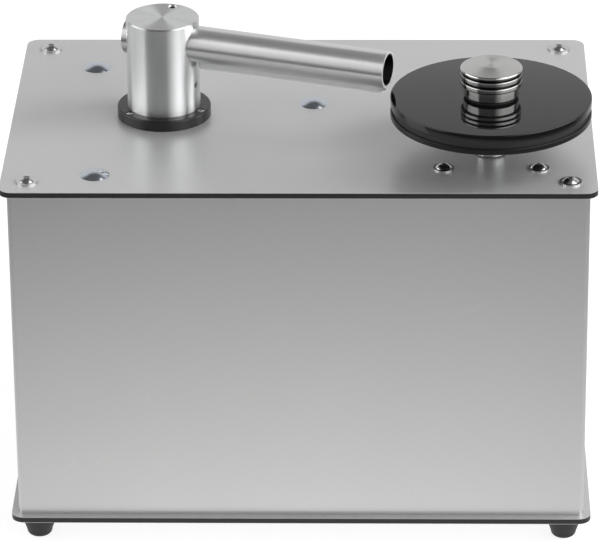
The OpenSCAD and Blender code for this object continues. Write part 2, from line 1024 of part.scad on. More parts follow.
module arm_base_ring() {
    outer = ring_d / 2;
    inner = column_d / 2 + run_gap;
    color([0.07, 0.07, 0.07])
        difference() {
            at_column()
                translate([0, 0, deck_z])
                    rotate_extrude() {
                        translate([inner, 0])
                            square([outer - inner, ring_h - ring_fillet]);
                        translate([inner, 0])
                            square([outer - inner - ring_fillet, ring_h]);
                        translate([outer - ring_fillet, ring_h - ring_fillet])
                            circle(r = ring_fillet);
                    }
            at_ring_screws()
                translate([0, 0, deck_z]) {
                    translate([0, 0, -cut])
                        cylinder(d = ring_screw_d + pass_gap, h = ring_h + 2 * cut);
                    translate([0, 0, ring_h - ring_screw_sink])
                        cylinder(d1 = ring_screw_d, d2 = ring_screw_head_d + 2 * seat_gap,
                            h = ring_screw_sink - 0.3);
                    translate([0, 0, ring_h - 0.35])
                        cylinder(d = ring_screw_head_d + 2 * seat_gap, h = 0.35 + cut);
                }
        }
}

module ring_screws() {
    color("gainsboro")
        at_ring_screws()
            translate([0, 0, deck_z + ring_h - 0.35])
                difference() {
                    union() {
                        translate([0, 0, 0.3 - ring_screw_sink + 0.1])
                            cylinder(d1 = ring_screw_d, d2 = ring_screw_head_d, h = ring_screw_sink - 0.4);
                        translate([0, 0, -ring_h - plate_t - pivot_flange_t + 1.4])
                            cylinder(d = ring_screw_d, h = ring_h + plate_t + pivot_flange_t - 1.6);
                    }
                    hex_socket(1.5, 0.7);
                }
}

// Fixed tube that the column turns and slides on. A window in its side holds the guide screw.
module pivot_tube() {
    half = asin((guide_tip_d / 2 + run_gap) / guide_tip_r);
    from = arm_angle + guide_angle - half;
    window_h = arm_lift + guide_tip_d + 2 * run_gap;
    color("silver")
        difference() {
            at_column()
                difference() {
                    union() {
                        translate([0, 0, roof_z - pivot_flange_t])
                            cylinder(d = pivot_flange_d, h = pivot_flange_t);
                        translate([0, 0, roof_z - 0.5])
                            cylinder(d = pivot_d, h = plate_t + pivot_top + 0.5);
                        translate([0, 0, roof_z - pivot_flange_t - spigot_l])
                            cylinder(d = spigot_d, h = spigot_l + 0.5);
                    }
                    translate([0, 0, roof_z - pivot_flange_t - spigot_l - cut])
                        cylinder(d = spigot_bore, h = spigot_l + pivot_flange_t + plate_t);
                    translate([0, 0, roof_z])
                        cylinder(d = pivot_bore, h = plate_t + pivot_top + cut);
                    translate([0, 0, deck_z + guide_z - arm_lift - guide_tip_d / 2 - run_gap])
                        rotate([0, 0, from])
                            rotate_extrude(angle = arm_swing + 2 * half)
                                translate([guide_tip_r - 0.2, 0])
                                    square([pivot_d, window_h]);
                }
            at_ring_screws()
                translate([0, 0, roof_z - pivot_flange_t + 0.2])
                    cylinder(d = ring_screw_d + 2 * seat_gap, h = pivot_flange_t + cut);
        }
}

// Points of a ring of the spring's wire, standing upright at the angle a
function wire_ring(r, a, z, wire, sides) = [
    for (k = [0 : sides - 1])
        let (t = 360 * k / sides, q = r + wire / 2 * cos(t))
            [q * cos(a), q * sin(a), z + wire / 2 * sin(t)]
];

// A coil spring as one unbroken wire, with its end turns lying flat
module coil_spring(d, wire, h, turns, steps = 16, sides = 6) {
    rings = turns * steps;
    mean_r = (d - wire) / 2;
    travel = h - wire;
    function rise(i) =
        let (u = i / steps, flat = 0.9)
            u < 1 ? wire * 1.08 * u
            : u > turns - 1 ? travel - wire * 1.08 * (turns - u)
            : wire * 1.08 + (travel - 2 * wire * 1.08) * (u - 1) / (turns - 2);
    points = [
        for (i = [0 : rings])
            each wire_ring(mean_r, 360 * i / steps, wire / 2 + rise(i), wire, sides)
    ];
    side_faces = [
        for (i = [0 : rings - 1])
            for (k = [0 : sides - 1])
                let (a = i * sides + k, b = i * sides + (k + 1) % sides)
                    each [[a, a + sides, b], [b, a + sides, b + sides]]
    ];
    first_cap = [for (k = [1 : sides - 2]) [0, k, k + 1]];
    last = rings * sides;
    last_cap = [for (k = [1 : sides - 2]) [last, last + k + 1, last + k]];
    echo(spring_gap = (travel - 2 * wire * 1.08) / (turns - 2) - wire);
    polyhedron(points, concat(side_faces, first_cap, last_cap), convexity = 8);
}

module lift_spring() {
    rest_h = plate_t + chamber_top - washer_t - 2 * seat_gap;
    color("gray")
        at_column()
            translate([0, 0, roof_z + seat_gap])
                coil_spring(spring_d, spring_wire, rest_h, spring_turns);
}

module lift_washer() {
    color("white")
        at_column()
            translate([0, 0, deck_z + chamber_top - washer_t])
                pipe(spring_d + 0.4, port_d + 1, washer_t - seat_gap);
}

module arm_column() {
    color("gainsboro")
        at_arm()
            translate([0, 0, deck_z])
                difference() {
                    rotate_extrude()
                        polygon([
                            [0, arm_lift + column_foot],
                            [column_d / 2, arm_lift + column_foot],
                            [column_d / 2, column_top - 0.6],
                            [column_d / 2 - 0.6, column_top],
                            [0, column_top]
                        ]);
                    translate([0, 0, arm_lift + column_foot - cut])
                        cylinder(d = pivot_d + 2 * run_gap, h = chamber_top - arm_lift - column_foot + cut);
                    cylinder(d = port_d, h = tube_height);
                    translate([-column_d, 0, tube_height])
                        rotate([0, 90, 0])
                            cylinder(d = tube_d + 2 * seat_gap, h = 2 * column_d);
                    rotate([0, 0, guide_angle])
                        translate([0, 0, guide_z])
                            rotate([0, 90, 0])
                                cylinder(d = guide_d + 2 * seat_gap, h = column_d);
                    rotate([0, 0, height_screw_angle])
                        translate([height_screw_r, 0, pivot_top + arm_lift - cut])
                            cylinder(d = height_screw_d + 2 * seat_gap, h = column_top);
                }
}

module arm_tube() {
    color("silver")
        at_arm()
            translate([0, 0, deck_z + tube_height])
                difference() {
                    translate([-tube_rear, 0, 0])
                        rotate([0, 90, 0])
                            pipe(tube_d, tube_bore, tube_rear + arm_reach);
                    translate([0, 0, -tube_d])
                        cylinder(d = port_d - 1, h = tube_d);
                    translate([0, 0, -tube_d])
                        linear_extrude(tube_d)
                            slot_shape(slot_start, slot_end, slot_w);
                    translate([0, 0, -tube_d])
                        linear_extrude(tube_d / 2 + lip_flat)
                            slot_shape(lip_start, lip_end, lip_w + 2 * seat_gap);
                }
}

module tube_end_plug() {
    color("black")
        at_arm()
            translate([arm_reach - end_plug_recess - end_plug_l, 0, deck_z + tube_height])
                rotate([0, 90, 0])
                    difference() {
                        cylinder(d = tube_bore - 2 * seat_gap, h = end_plug_l);
                        translate([0, 0, end_plug_l - 1.2])
                            cylinder(d = tube_bore - 4, h = 1.2 + cut);
                    }
}

module tube_rear_plug() {
    color("silver")
        at_arm()
            translate([-tube_rear, 0, deck_z + tube_height])
                rotate([0, 90, 0])
                    cylinder(d = tube_bore - 2 * seat_gap, h = rear_plug_l);
}

module suction_lip() {
    color("gainsboro")
        at_arm()
            translate([0, 0, deck_z + tube_height - tube_d / 2 - lip_drop])
                linear_extrude(lip_drop + lip_flat)
                    difference() {
                        slot_shape(lip_start, lip_end, lip_w);
                        slot_shape(slot_start, slot_end, slot_w);
                    }
}

module lip_felt() {
    color("whitesmoke")
        at_arm()
            translate([0, 0, deck_z + tube_height - tube_d / 2 - lip_drop - felt_t])
                linear_extrude(felt_t)
                    difference() {
                        slot_shape(lip_start, lip_end, lip_w);
                        slot_shape(slot_start - 0.5, slot_end + 0.5, slot_w + 1);
                    }
}

// Grub screw whose tip rides in the pivot tube's window and stops the lift and the swing
module guide_screw() {
    color("dimgray")
        at_arm()
            rotate([0, 0, guide_angle])
                translate([0, 0, deck_z + guide_z])
                    rotate([0, 90, 0])
                        difference() {
                            union() {
                                translate([0, 0, guide_tip_r])
                                    cylinder(d = guide_tip_d, h = 4);
                                translate([0, 0, pivot_d / 2 + run_gap])
                                    cylinder(d = guide_d, h = (column_d - pivot_d) / 2 - 0.4);
                            }
                            translate([0, 0, column_d / 2 - 0.4 + run_gap])
                                hex_socket(2, 1.2);
                        }
}

// Set screw in the column's top that lands on the pivot tube and sets the lowest position
module height_screw() {
    tip = pivot_top + arm_lift + run_gap;
    color("gainsboro")
        at_arm()
            rotate([0, 0, height_screw_angle])
                translate([height_screw_r, 0, deck_z + tip])
                    difference() {
                        cylinder(d = height_screw_d, h = column_top - tip - 0.5);
                        translate([0, 0, column_top - tip - 0.5])
                            hex_socket(2.5, 2.5);
                    }
}

// Suction unit: tank, fan and fan motor

module tank_lid() {
    color([0.2, 0.2, 0.22])
        difference() {
            union() {
                translate([0, 0, lid_top - lid_t])
                    eared_plate(rim_d, lid_t);
                at_column()
                    translate([0, 0, lid_top - lid_t - gasket_t - 3])
                        cylinder(d = tank_d - 2 * tank_wall - 1, h = gasket_t + 3.5);
            }
            at_column()
                translate([0, 0, lid_top - lid_t - gasket_t - 3 - cut])
                    pipe(tank_d - 2 * tank_wall - 8, spigot_d + 8, gasket_t + 3 + cut);
            at_column()
                translate([0, 0, tank_top - 4])
                    cylinder(d = spigot_d + 2 * seat_gap, h = lid_t + gasket_t + 6);
        }
}

module tank_gasket() {
    color("black")
        at_column()
            translate([0, 0, tank_top])
                pipe(rim_d, tank_d - 2 * tank_wall, gasket_t);
}

module tank_body() {
    color([0.85, 0.87, 0.88])
        at_column()
            translate([0, 0, tank_floor])
                difference() {
                    union() {
                        cylinder(d = tank_d, h = tank_h);
                        translate([0, 0, tank_h - rim_h])
                            cylinder(d = rim_d, h = rim_h);
                        rotate([0, 0, nipple_angle])
                            translate([tank_d / 2 - tank_wall, 0, nipple_z - tank_floor])
                                rotate([0, 90, 0])
                                    cylinder(d = nipple_d, h = nipple_l + tank_wall);
                    }
                    translate([0, 0, tank_floor_t])
                        cylinder(d = tank_d - 2 * tank_wall, h = tank_h);
                    translate([0, 0, -cut])
                        cylinder(d = standpipe_d + 2 * seat_gap, h = tank_h);
                    rotate([0, 0, nipple_angle])
                        translate([tank_d / 2 - 2 * tank_wall, 0, nipple_z - tank_floor])
                            rotate([0, 90, 0])
                                cylinder(d = nipple_bore, h = nipple_l + 3 * tank_wall);
                }
}

// Standpipe that lets the air out through the tank's floor, under a cone that sheds the fluid
module splash_hood() {
    rim_z = standpipe_h + hood_lift - 4;
    apex_z = 9;
    color([0.85, 0.87, 0.88])
        at_column()
            translate([0, 0, tank_floor]) {
                pipe(standpipe_d, standpipe_d - 2 * standpipe_wall, standpipe_h);
                translate([0, 0, tank_floor_t])
                    pipe(standpipe_flange_d, standpipe_d - standpipe_wall, standpipe_flange_t);
                translate([0, 0, rim_z])
                    rotate_extrude()
                        polygon([
                            [0, apex_z],
                            [hood_d / 2, 0],
                            [hood_d / 2, -hood_t],
                            [hood_d / 2 - hood_t, -hood_t],
                            [0, apex_z - hood_t]
                        ]);
                for (i = [0 : 2])
                    rotate([0, 0, i * 120])
                        translate([standpipe_d / 2 - standpipe_wall, -hood_leg / 2, standpipe_h - 0.5])
                            cube([standpipe_wall, hood_leg, hood_lift + 0.5]);
            }
}

module fan_cover() {
    color("silver")
        at_column()
            translate([0, 0, fan_top])
                pipe(fan_case_d, standpipe_d - 2 * standpipe_wall, cover_t);
}

// Fan casing and the motor under it
module vacuum_motor() {
    color("gray")
        at_column()
            translate([0, 0, fan_floor])
                difference() {
                    union() {
                        cylinder(d = fan_case_d, h = fan_case_h);
                        translate([0, 0, -fan_motor_h])
                            cylinder(d = fan_motor_d, h = fan_motor_h + cut);
                    }
                    translate([0, 0, fan_wall])
                        cylinder(d = fan_case_d - 2 * fan_wall, h = fan_case_h);
                    translate([0, 0, -fan_shaft_depth])
                        cylinder(d = fan_shaft_d + 2 * run_gap, h = fan_shaft_depth + fan_case_h);
                    translate([-duct_w / 2 + duct_wall, 0, duct_z - duct_h / 2 + duct_wall - fan_floor])
                        cube([duct_w - 2 * duct_wall, fan_case_d, duct_h - 2 * duct_wall]);
                }
}

module fan_shaft() {
    color("gainsboro")
        at_column()
            translate([0, 0, fan_floor - fan_shaft_depth + 1])
                cylinder(d = fan_shaft_d, h = fan_shaft_depth - 1 + fan_case_h - fan_gap);
}

// Fan wheel with backward-curved vanes between its back plate and its front ring
module fan_wheel() {
    wheel_h = fan_case_h - fan_wall - 2 * fan_gap;
    vane_r = fan_d * 0.3;
    color("lightgray")
        at_column()
            translate([0, 0, fan_floor + fan_wall + fan_gap])
                difference() {
                    union() {
                        cylinder(d = fan_d, h = fan_plate_t);
                        cylinder(d = fan_hub_d, h = wheel_h - 2);
                        translate([0, 0, wheel_h - fan_plate_t])
                            pipe(fan_d, fan_eye_d, fan_plate_t);
                        linear_extrude(wheel_h - fan_plate_t / 2)
                            for (i = [0 : fan_vanes - 1])
                                rotate(i * 360 / fan_vanes)
                                    fan_vane(vane_r);
                    }
                    translate([0, 0, -cut])
                        cylinder(d = fan_shaft_d + 2 * seat_gap, h = wheel_h + 2 * cut);
                }
}

// One vane: an arc from the eye to the rim that leans back against the turning
module fan_vane(r) {
    start = fan_eye_d / 2 + 1;
    intersection() {
        translate([start, -r])
            difference() {
                circle(r = r);
                circle(r = r - vane_t);
            }
        circle(d = fan_d - 1);
        translate([start, -fan_d])
            square([fan_d, fan_d]);
    }
}

// Plate that the long bolts pull up against the fan casing
module motor_cradle() {
    color("silver")
        difference() {
            translate([0, 0, cradle_z])
                eared_plate(fan_case_d, cradle_t);
            at_column()
                translate([0, 0, cradle_z - cut])
                    cylinder(d = fan_motor_d + 2 * pass_gap, h = cradle_t + 2 * cut);
        }
}

module exhaust_duct() {
    reach = panel_y - column_y;
    color([0.15, 0.15, 0.15])
        at_column()
            difference() {
                union() {
                    translate([-duct_w / 2, 0, duct_z - duct_h / 2])
                        cube([duct_w, reach, duct_h]);
                    translate([-duct_w / 2 - 4, reach - 2, duct_z - duct_h / 2 - 4])
                        cube([duct_w + 8, 2, duct_h + 8]);
                }
                translate([-duct_w / 2 + duct_wall, -cut, duct_z - duct_h / 2 + duct_wall])
                    cube([duct_w - 2 * duct_wall, reach + 2 * cut, duct_h - 2 * duct_wall]);
                translate([0, 0, duct_z - duct_h])
                    cylinder(d = fan_case_d + 2 * seat_gap, h = 2 * duct_h);
            }
}

module exhaust_grille() {
    pitch = (duct_h - 2 * duct_wall) / (grille_bars + 1);
    color([0.1, 0.1, 0.1])
        translate([column_x, panel_y + sheet_t, duct_z])
            rotate([-90, 0, 0]) {
                linear_extrude(grille_t)
                    difference() {
                        rounded_rect(grille_w, grille_h, 3);
                        rounded_rect(duct_w - 2 * duct_wall, duct_h - 2 * duct_wall, 1);
                    }
                translate([0, 0, -sheet_t])
                    linear_extrude(sheet_t + 0.4)
                        difference() {
                            square([duct_w - 2 * seat_gap, duct_h - 2 * seat_gap], center = true);
                            square([duct_w - 2 * duct_wall, duct_h - 2 * duct_wall], center = true);
                        }
                for (i = [1 : grille_bars])
                    translate([-duct_w / 2, -duct_h / 2 + duct_wall + i * pitch - grille_bar / 2, 0.4])
                        cube([duct_w, grille_bar, grille_t - 0.8]);
            }
}

// Drain, from the tank's foot to a cock under the base plate

module drain_hose() {
    straight_from = tank_d / 2 + hose_start;
    foot_z = floor_z + outlet_flange_t + hose_end - nipple_z;
    color("gainsboro")
        at_column()
            rotate([0, 0, nipple_angle])
                translate([0, 0, nipple_z]) {
                    translate([straight_from, 0, 0])
                        rotate([0, 90, 0])
                            pipe(hose_d, nipple_d + 2 * seat_gap, drain_reach - hose_bend - straight_from);
                    translate([drain_reach - hose_bend, 0, -hose_bend])
                        rotate([90, 0, 0])
                            rotate_extrude(angle = 90)
                                translate([hose_bend, 0])
                                    difference() {
                                        circle(d = hose_d);
                                        circle(d = nipple_d + 2 * seat_gap);
                                    }
                    translate([drain_reach, 0, foot_z])
                        pipe(hose_d, nipple_d + 2 * seat_gap, -hose_bend - foot_z);
                }
}

module drain_outlet() {
    color([0.9, 0.9, 0.9])
        translate([drain_x, drain_y, 0])
            difference() {
                union() {
                    translate([0, 0, floor_z])
                        cylinder(d = outlet_flange_d, h = outlet_flange_t);
                    translate([0, 0, floor_z])
                        cylinder(d = nipple_d, h = outlet_flange_t + outlet_barb_h);
                    translate([0, 0, base_z - outlet_drop])
                        cylinder(d = outlet_body_d, h = plate_t + outlet_drop + 0.5);
                    translate([0, 0, base_z - outlet_drop])
                        cylinder(d = outlet_flange_d - 2, h = outlet_drop, $fn = 12);
                }
                translate([0, 0, base_z - outlet_drop - cut])
                    cylinder(d = cock_d + 2 * run_gap, h = cock_neck + cut);
                translate([0, 0, cock_top - cock_rim_h - run_gap])
                    cylinder(d = cock_rim_d + 2 * run_gap, h = cock_rim_h + 2 * run_gap);
                translate([0, 0, cock_top + 1])
                    cylinder(d = nipple_bore, h = outlet_flange_t + outlet_barb_h + plate_t);
                translate([cock_port_r, 0, cock_top - cut])
                    cylinder(d = cock_port_d, h = 1 + 2 * cut);
            }
}

// Quarter-turn cock with a wing grip under the base plate. At rest its port stands a quarter
// turn from the outlet's port, so the drain is shut.
module drain_cock() {
    grip_z = base_z - outlet_drop - cock_grip_h - 0.2;
    color("firebrick")
        translate([drain_x, drain_y, 0])
            difference() {
                union() {
                    translate([0, 0, grip_z + 2])
                        cylinder(d = cock_d, h = cock_top - grip_z - 2);
                    translate([0, 0, cock_top - cock_rim_h])
                        cylinder(d = cock_rim_d, h = cock_rim_h);
                    intersection() {
                        translate([0, 0, grip_z])
                            cylinder(d = cock_grip_d, h = cock_grip_h);
                        translate([-cock_grip_d / 2, -cock_grip_t / 2, grip_z])
                            cube([cock_grip_d, cock_grip_t, cock_grip_h]);
                    }
                }
                translate([0, -cock_port_r, grip_z - cut])
                    cylinder(d = cock_port_d, h = cock_top);
            }
}

// Electrics

// Cold-device inlet: a flanged housing with a deep socket and three flat pins
module mains_inlet() {
    face_y = panel_y + sheet_t;
    chamfer = 4;
    pin_z = inlet_flange_t - inlet_socket_l - 0.5;
    color([0.08, 0.08, 0.08])
        translate([inlet_x, face_y, inlet_z])
            rotate([-90, 0, 0]) {
                difference() {
                    union() {
                        linear_extrude(inlet_flange_t)
                            rounded_rect(inlet_w, inlet_h, 5);
                        translate([-inlet_body_w / 2, -inlet_body_h / 2, -inlet_depth])
                            cube([inlet_body_w, inlet_body_h, inlet_depth + 0.5]);
                    }
                    translate([0, 0, inlet_flange_t - inlet_socket_l])
                        linear_extrude(inlet_socket_l + cut)
                            polygon([
                                [-inlet_socket_w / 2, inlet_socket_h / 2],
                                [-inlet_socket_w / 2, -inlet_socket_h / 2 + chamfer],
                                [-inlet_socket_w / 2 + chamfer, -inlet_socket_h / 2],
                                [inlet_socket_w / 2 - chamfer, -inlet_socket_h / 2],
                                [inlet_socket_w / 2, -inlet_socket_h / 2 + chamfer],
                                [inlet_socket_w / 2, inlet_socket_h / 2]
                            ]);
                    for (sx = [-1, 1])
                        translate([sx * inlet_screw_x, 0, 0]) {
                            translate([0, 0, -cut])
                                cylinder(d = panel_screw_d + pass_gap, h = inlet_flange_t + 2 * cut);
                            translate([0, 0, inlet_flange_t - inlet_screw_sink])
                                cylinder(d = panel_head_d + pass_gap, h = inlet_screw_sink + cut);
                        }
                }
                for (p = [[-7, 2], [7, 2], [0, -2]])
                    translate([p[0] - inlet_pin[0] / 2, p[1] - inlet_pin[1] / 2, pin_z])
                        cube([inlet_pin[0], inlet_pin[1], inlet_pin_l + 0.5]);
            }
}

// Supply board on four pillars: transformer, smoothing capacitor, relay and heat sink
module power_board() {
    color("darkgreen")
        translate([board_x, board_y, floor_z]) {
            translate([-board_w / 2, -board_d / 2, board_lift])
                cube([board_w, board_d, board_t]);
            for (sx = [-1, 1])
                for (sy = [-1, 1])
                    translate([sx * (board_w / 2 - pillar_inset), sy * (board_d / 2 - pillar_inset), 0])
                        cylinder(d = pillar_d, h = board_lift + 0.5);
            translate([0, 0, board_lift + board_t - 0.2]) {
                translate([-board_w / 2 + transformer_x, -board_d / 2 + transformer_y, 0])
                    cube([transformer_w, transformer_d, transformer_h]);
                translate([capacitor_x, capacitor_y, 0])
                    cylinder(d = capacitor_d, h = capacitor_h);
                translate([relay_x, relay_y, 0])
                    cube([relay_w, relay_d, relay_h]);
                translate([sink_x, sink_y, 0])
                    cube([sink_w, sink_d, sink_h]);
            }
        }
}

module switch_frames() {
    pin_bore_l = switch_body_w - 0.4;
    color([0.06, 0.06, 0.06])
        for (y = switch_y)
            translate([wall_x, y, switch_z])
                rotate([90, 0, 90])
                    difference() {
                        union() {
                            linear_extrude(switch_bezel)
                                rounded_rect(switch_w, switch_h, 1);
                            translate([-switch_body_w / 2, -switch_body_h / 2, -switch_depth])
                                cube([switch_body_w, switch_body_h, switch_depth + 0.5]);
                        }
                        translate([-switch_mouth_w / 2, -switch_mouth_h / 2, -7])
                            cube([switch_mouth_w, switch_mouth_h, 7 + switch_bezel + cut]);
                        translate([0, 0, -rocker_pivot])
                            rotate([0, 90, 0])
                                cylinder(d = rocker_pin_d + 2 * run_gap, h = pin_bore_l, center = true);
                    }
}

// One rocker about its pivot, tilted by the angle given: X across, Y up the wall, Z outwards
module rocker(tilt) {
    half = rocker_h / 2;
    rotate([tilt, 0, 0]) {
        rotate([0, -90, 0])
            linear_extrude(rocker_w, center = true)
                polygon([
                    [-3.2, -half + 3],
                    [0.4, -half],
                    [rocker_pivot + 2, -half],
                    [rocker_pivot + 1.1, 0],
                    [rocker_pivot + 2, half],
                    [0.4, half],
                    [-3.2, half - 3]
                ]);
        rotate([0, 90, 0])
            cylinder(d = rocker_pin_d, h = switch_body_w - 0.8, center = true);
    }
}

module rocker_in_wall(y, tilt) {
    color([0.04, 0.04, 0.04])
        translate([wall_x - rocker_pivot, y, switch_z])
            rotate([90, 0, 90])
                rocker(tilt);
}

// Runs the platter either way, and stands level when it is off
module motor_rocker() {
    rocker_in_wall(switch_y[0], 0);
}

// Turns the suction on and off, and rests tilted at off
module vacuum_rocker() {
    rocker_in_wall(switch_y[1], rocker_tilt);
}

top_plate();
bottom_plate();
body_shell();
back_panel();
back_panel_screws();
corner_posts();
corner_screws();
feet();
foot_studs();
carriage_bolts();
bolt_spacers();
support_tubes();
bolt_nuts();
gear_unit();
drive_motor();
motor_screws();
shaft_bush();
output_shaft();
platter_hub();
hub_grub_screw();
platter_disc();
platter_mat();
spindle();
clamp_disc();
clamp_seal();
knob();
knob_washer();
knob_clip();
arm_base_ring();
ring_screws();
pivot_tube();
lift_spring();
lift_washer();
arm_column();
arm_tube();
tube_end_plug();
tube_rear_plug();
suction_lip();
lip_felt();
guide_screw();
height_screw();
tank_lid();
tank_gasket();
tank_body();
splash_hood();
fan_cover();
vacuum_motor();
fan_shaft();
fan_wheel();
motor_cradle();
exhaust_duct();
exhaust_grille();
drain_hose();
drain_outlet();
drain_cock();
mains_inlet();
power_board();
switch_frames();
motor_rocker();
vacuum_rocker();
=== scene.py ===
"""Finish, fine detail and studio of a record cleaning machine."""

import math

import bmesh
import bpy
from bpy.props import FloatProperty, FloatVectorProperty, IntProperty, PointerProperty
from bpy.types import Operator, Panel, PropertyGroup
from mathutils import Matrix, Vector


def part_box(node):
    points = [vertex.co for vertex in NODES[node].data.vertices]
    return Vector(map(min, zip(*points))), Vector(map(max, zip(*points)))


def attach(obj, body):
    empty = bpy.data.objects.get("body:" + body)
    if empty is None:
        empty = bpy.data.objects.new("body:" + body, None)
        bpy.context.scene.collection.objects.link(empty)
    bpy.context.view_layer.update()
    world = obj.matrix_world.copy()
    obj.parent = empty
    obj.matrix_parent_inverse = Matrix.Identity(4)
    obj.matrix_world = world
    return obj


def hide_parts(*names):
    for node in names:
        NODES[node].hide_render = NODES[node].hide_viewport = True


bl_info = {
    "name": "Record Cleaning Machine",
    "version": (1, 0, 0),
    "blender": (4, 5, 0),
    "location": "View3D > Sidebar > Cleaner",
    "description": "Dresses the record cleaning machine and sets up its studio",
    "category": "Object",
}

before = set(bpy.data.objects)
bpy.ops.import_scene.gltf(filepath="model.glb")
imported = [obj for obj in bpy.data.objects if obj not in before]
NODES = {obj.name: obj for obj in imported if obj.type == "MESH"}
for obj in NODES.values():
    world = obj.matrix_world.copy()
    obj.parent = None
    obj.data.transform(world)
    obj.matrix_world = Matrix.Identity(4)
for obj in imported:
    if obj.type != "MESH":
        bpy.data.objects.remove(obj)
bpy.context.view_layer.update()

MM = 0.001


def middle(node):
    """The centre of a node's box."""
    low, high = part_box(node)
    return (low + high) / 2


SPINDLE = middle("platter_disc")
COLUMN = middle("arm_base_ring")
# The suction tube: its bearing about the column, and its reach and bore radius in millimetres
ARM_ANGLE = math.radians(-19)
ARM_REACH = 120.5
TUBE_BORE = 8.2


# Shader helpers


def put(tree, kind, inputs=None, **settings):
    """Adds a node; inputs are plain values or sockets to link from."""
    node = tree.nodes.new(kind)
    for key, value in settings.items():
        setattr(node, key, value)
    for key, value in (inputs or {}).items():
        if isinstance(value, bpy.types.NodeSocket):
            tree.links.new(value, node.inputs[key])
        else:
            node.inputs[key].default_value = value
    return node


def calc(tree, operation, first, second=0.0, third=0.0):
    """A math node's result."""
    node = put(tree, "ShaderNodeMath", {0: first, 1: second, 2: third}, operation=operation)
    return node.outputs[0]


def ramp(tree, value, low, high, to_low=0.0, to_high=1.0):
    """Maps a value from one range to another, held at its ends."""
    node = put(
        tree,
        "ShaderNodeMapRange",
        {"Value": value, "From Min": low, "From Max": high, "To Min": to_low, "To Max": to_high},
    )
    return node.outputs["Result"]


def blend_colour(tree, factor, first, second):
    """A colour mix node's result."""
    # Sockets 6 and 7 are the node's colours, and output 2 is its mixed colour
    node = put(tree, "ShaderNodeMix", data_type="RGBA")
    for key, value in ((0, factor), (6, first), (7, second)):
        if isinstance(value, bpy.types.NodeSocket):
            tree.links.new(value, node.inputs[key])
        else:
            node.inputs[key].default_value = value
    return node.outputs[2]


def new_group(name, inputs, outputs):
    """A shader node group with its named sockets, and its input and output nodes."""
    group = bpy.data.node_groups.new(name, "ShaderNodeTree")
    for title, kind, default in inputs:
        socket = group.interface.new_socket(title, in_out="INPUT", socket_type=kind)
        if default is not None:
            socket.default_value = default
    for title, kind in outputs:
        group.interface.new_socket(title, in_out="OUTPUT", socket_type=kind)
    start = group.nodes.new("NodeGroupInput")
    end = group.nodes.new("NodeGroupOutput")
    return group, start.outputs, end.inputs


def grain_group():
    """Fine even grain with slow cloudy variation, for sheet, plastic and rubber."""
    name = "Surface grain"
    if name in bpy.data.node_groups:
        return bpy.data.node_groups[name]
    group, given, result = new_group(
        name,
        [
            ("Vector", "NodeSocketVector", None),
            ("Grain Scale", "NodeSocketFloat", 1500.0),
            ("Cloud Scale", "NodeSocketFloat", 18.0),
        ],
        [("Grain", "NodeSocketFloat"), ("Cloud", "NodeSocketFloat")],
    )
    place = given["Vector"]
    fine = put(
        group,
        "ShaderNodeTexNoise",
        {"Vector": place, "Scale": given["Grain Scale"], "Detail": 2.0, "Roughness": 0.6},
    )
    slow = put(
        group,
        "ShaderNodeTexNoise",
        {"Vector": place, "Scale": given["Cloud Scale"], "Detail": 3.0, "Roughness": 0.55},
    )
    group.links.new(fine.outputs[0], result["Grain"])
    group.links.new(slow.outputs[0], result["Cloud"])
    return group


def turning_group():
    """Concentric turning marks about the Z axis of the given coordinates."""
    name = "Turning marks"
    if name in bpy.data.node_groups:
        return bpy.data.node_groups[name]
    group, given, result = new_group(
        name,
        [("Vector", "NodeSocketVector", None), ("Mark Scale", "NodeSocketFloat", 2500.0)],
        [("Marks", "NodeSocketFloat"), ("Bands", "NodeSocketFloat")],
    )
    parts = put(group, "ShaderNodeSeparateXYZ", {0: given["Vector"]}).outputs
    along_x = calc(group, "MULTIPLY", parts[0], parts[0])
    along_y = calc(group, "MULTIPLY", parts[1], parts[1])
    radius = calc(group, "SQRT", calc(group, "ADD", along_x, along_y))
    # A slight drift across keeps the marks from being perfect circles
    drift = calc(group, "MULTIPLY", parts[0], 0.004)
    place = put(group, "ShaderNodeCombineXYZ", {0: radius, 1: drift, 2: parts[2]}).outputs[0]
    fine = put(
        group,
        "ShaderNodeTexNoise",
        {"Vector": place, "Scale": given["Mark Scale"], "Detail": 2.0, "Roughness": 0.7},
    )
    broad_scale = calc(group, "MULTIPLY", given["Mark Scale"], 0.12)
    broad = put(
        group,
        "ShaderNodeTexNoise",
        {"Vector": place, "Scale": broad_scale, "Detail": 2.0, "Roughness": 0.5},
    )
    group.links.new(fine.outputs[0], result["Marks"])
    group.links.new(broad.outputs[0], result["Bands"])
    return group


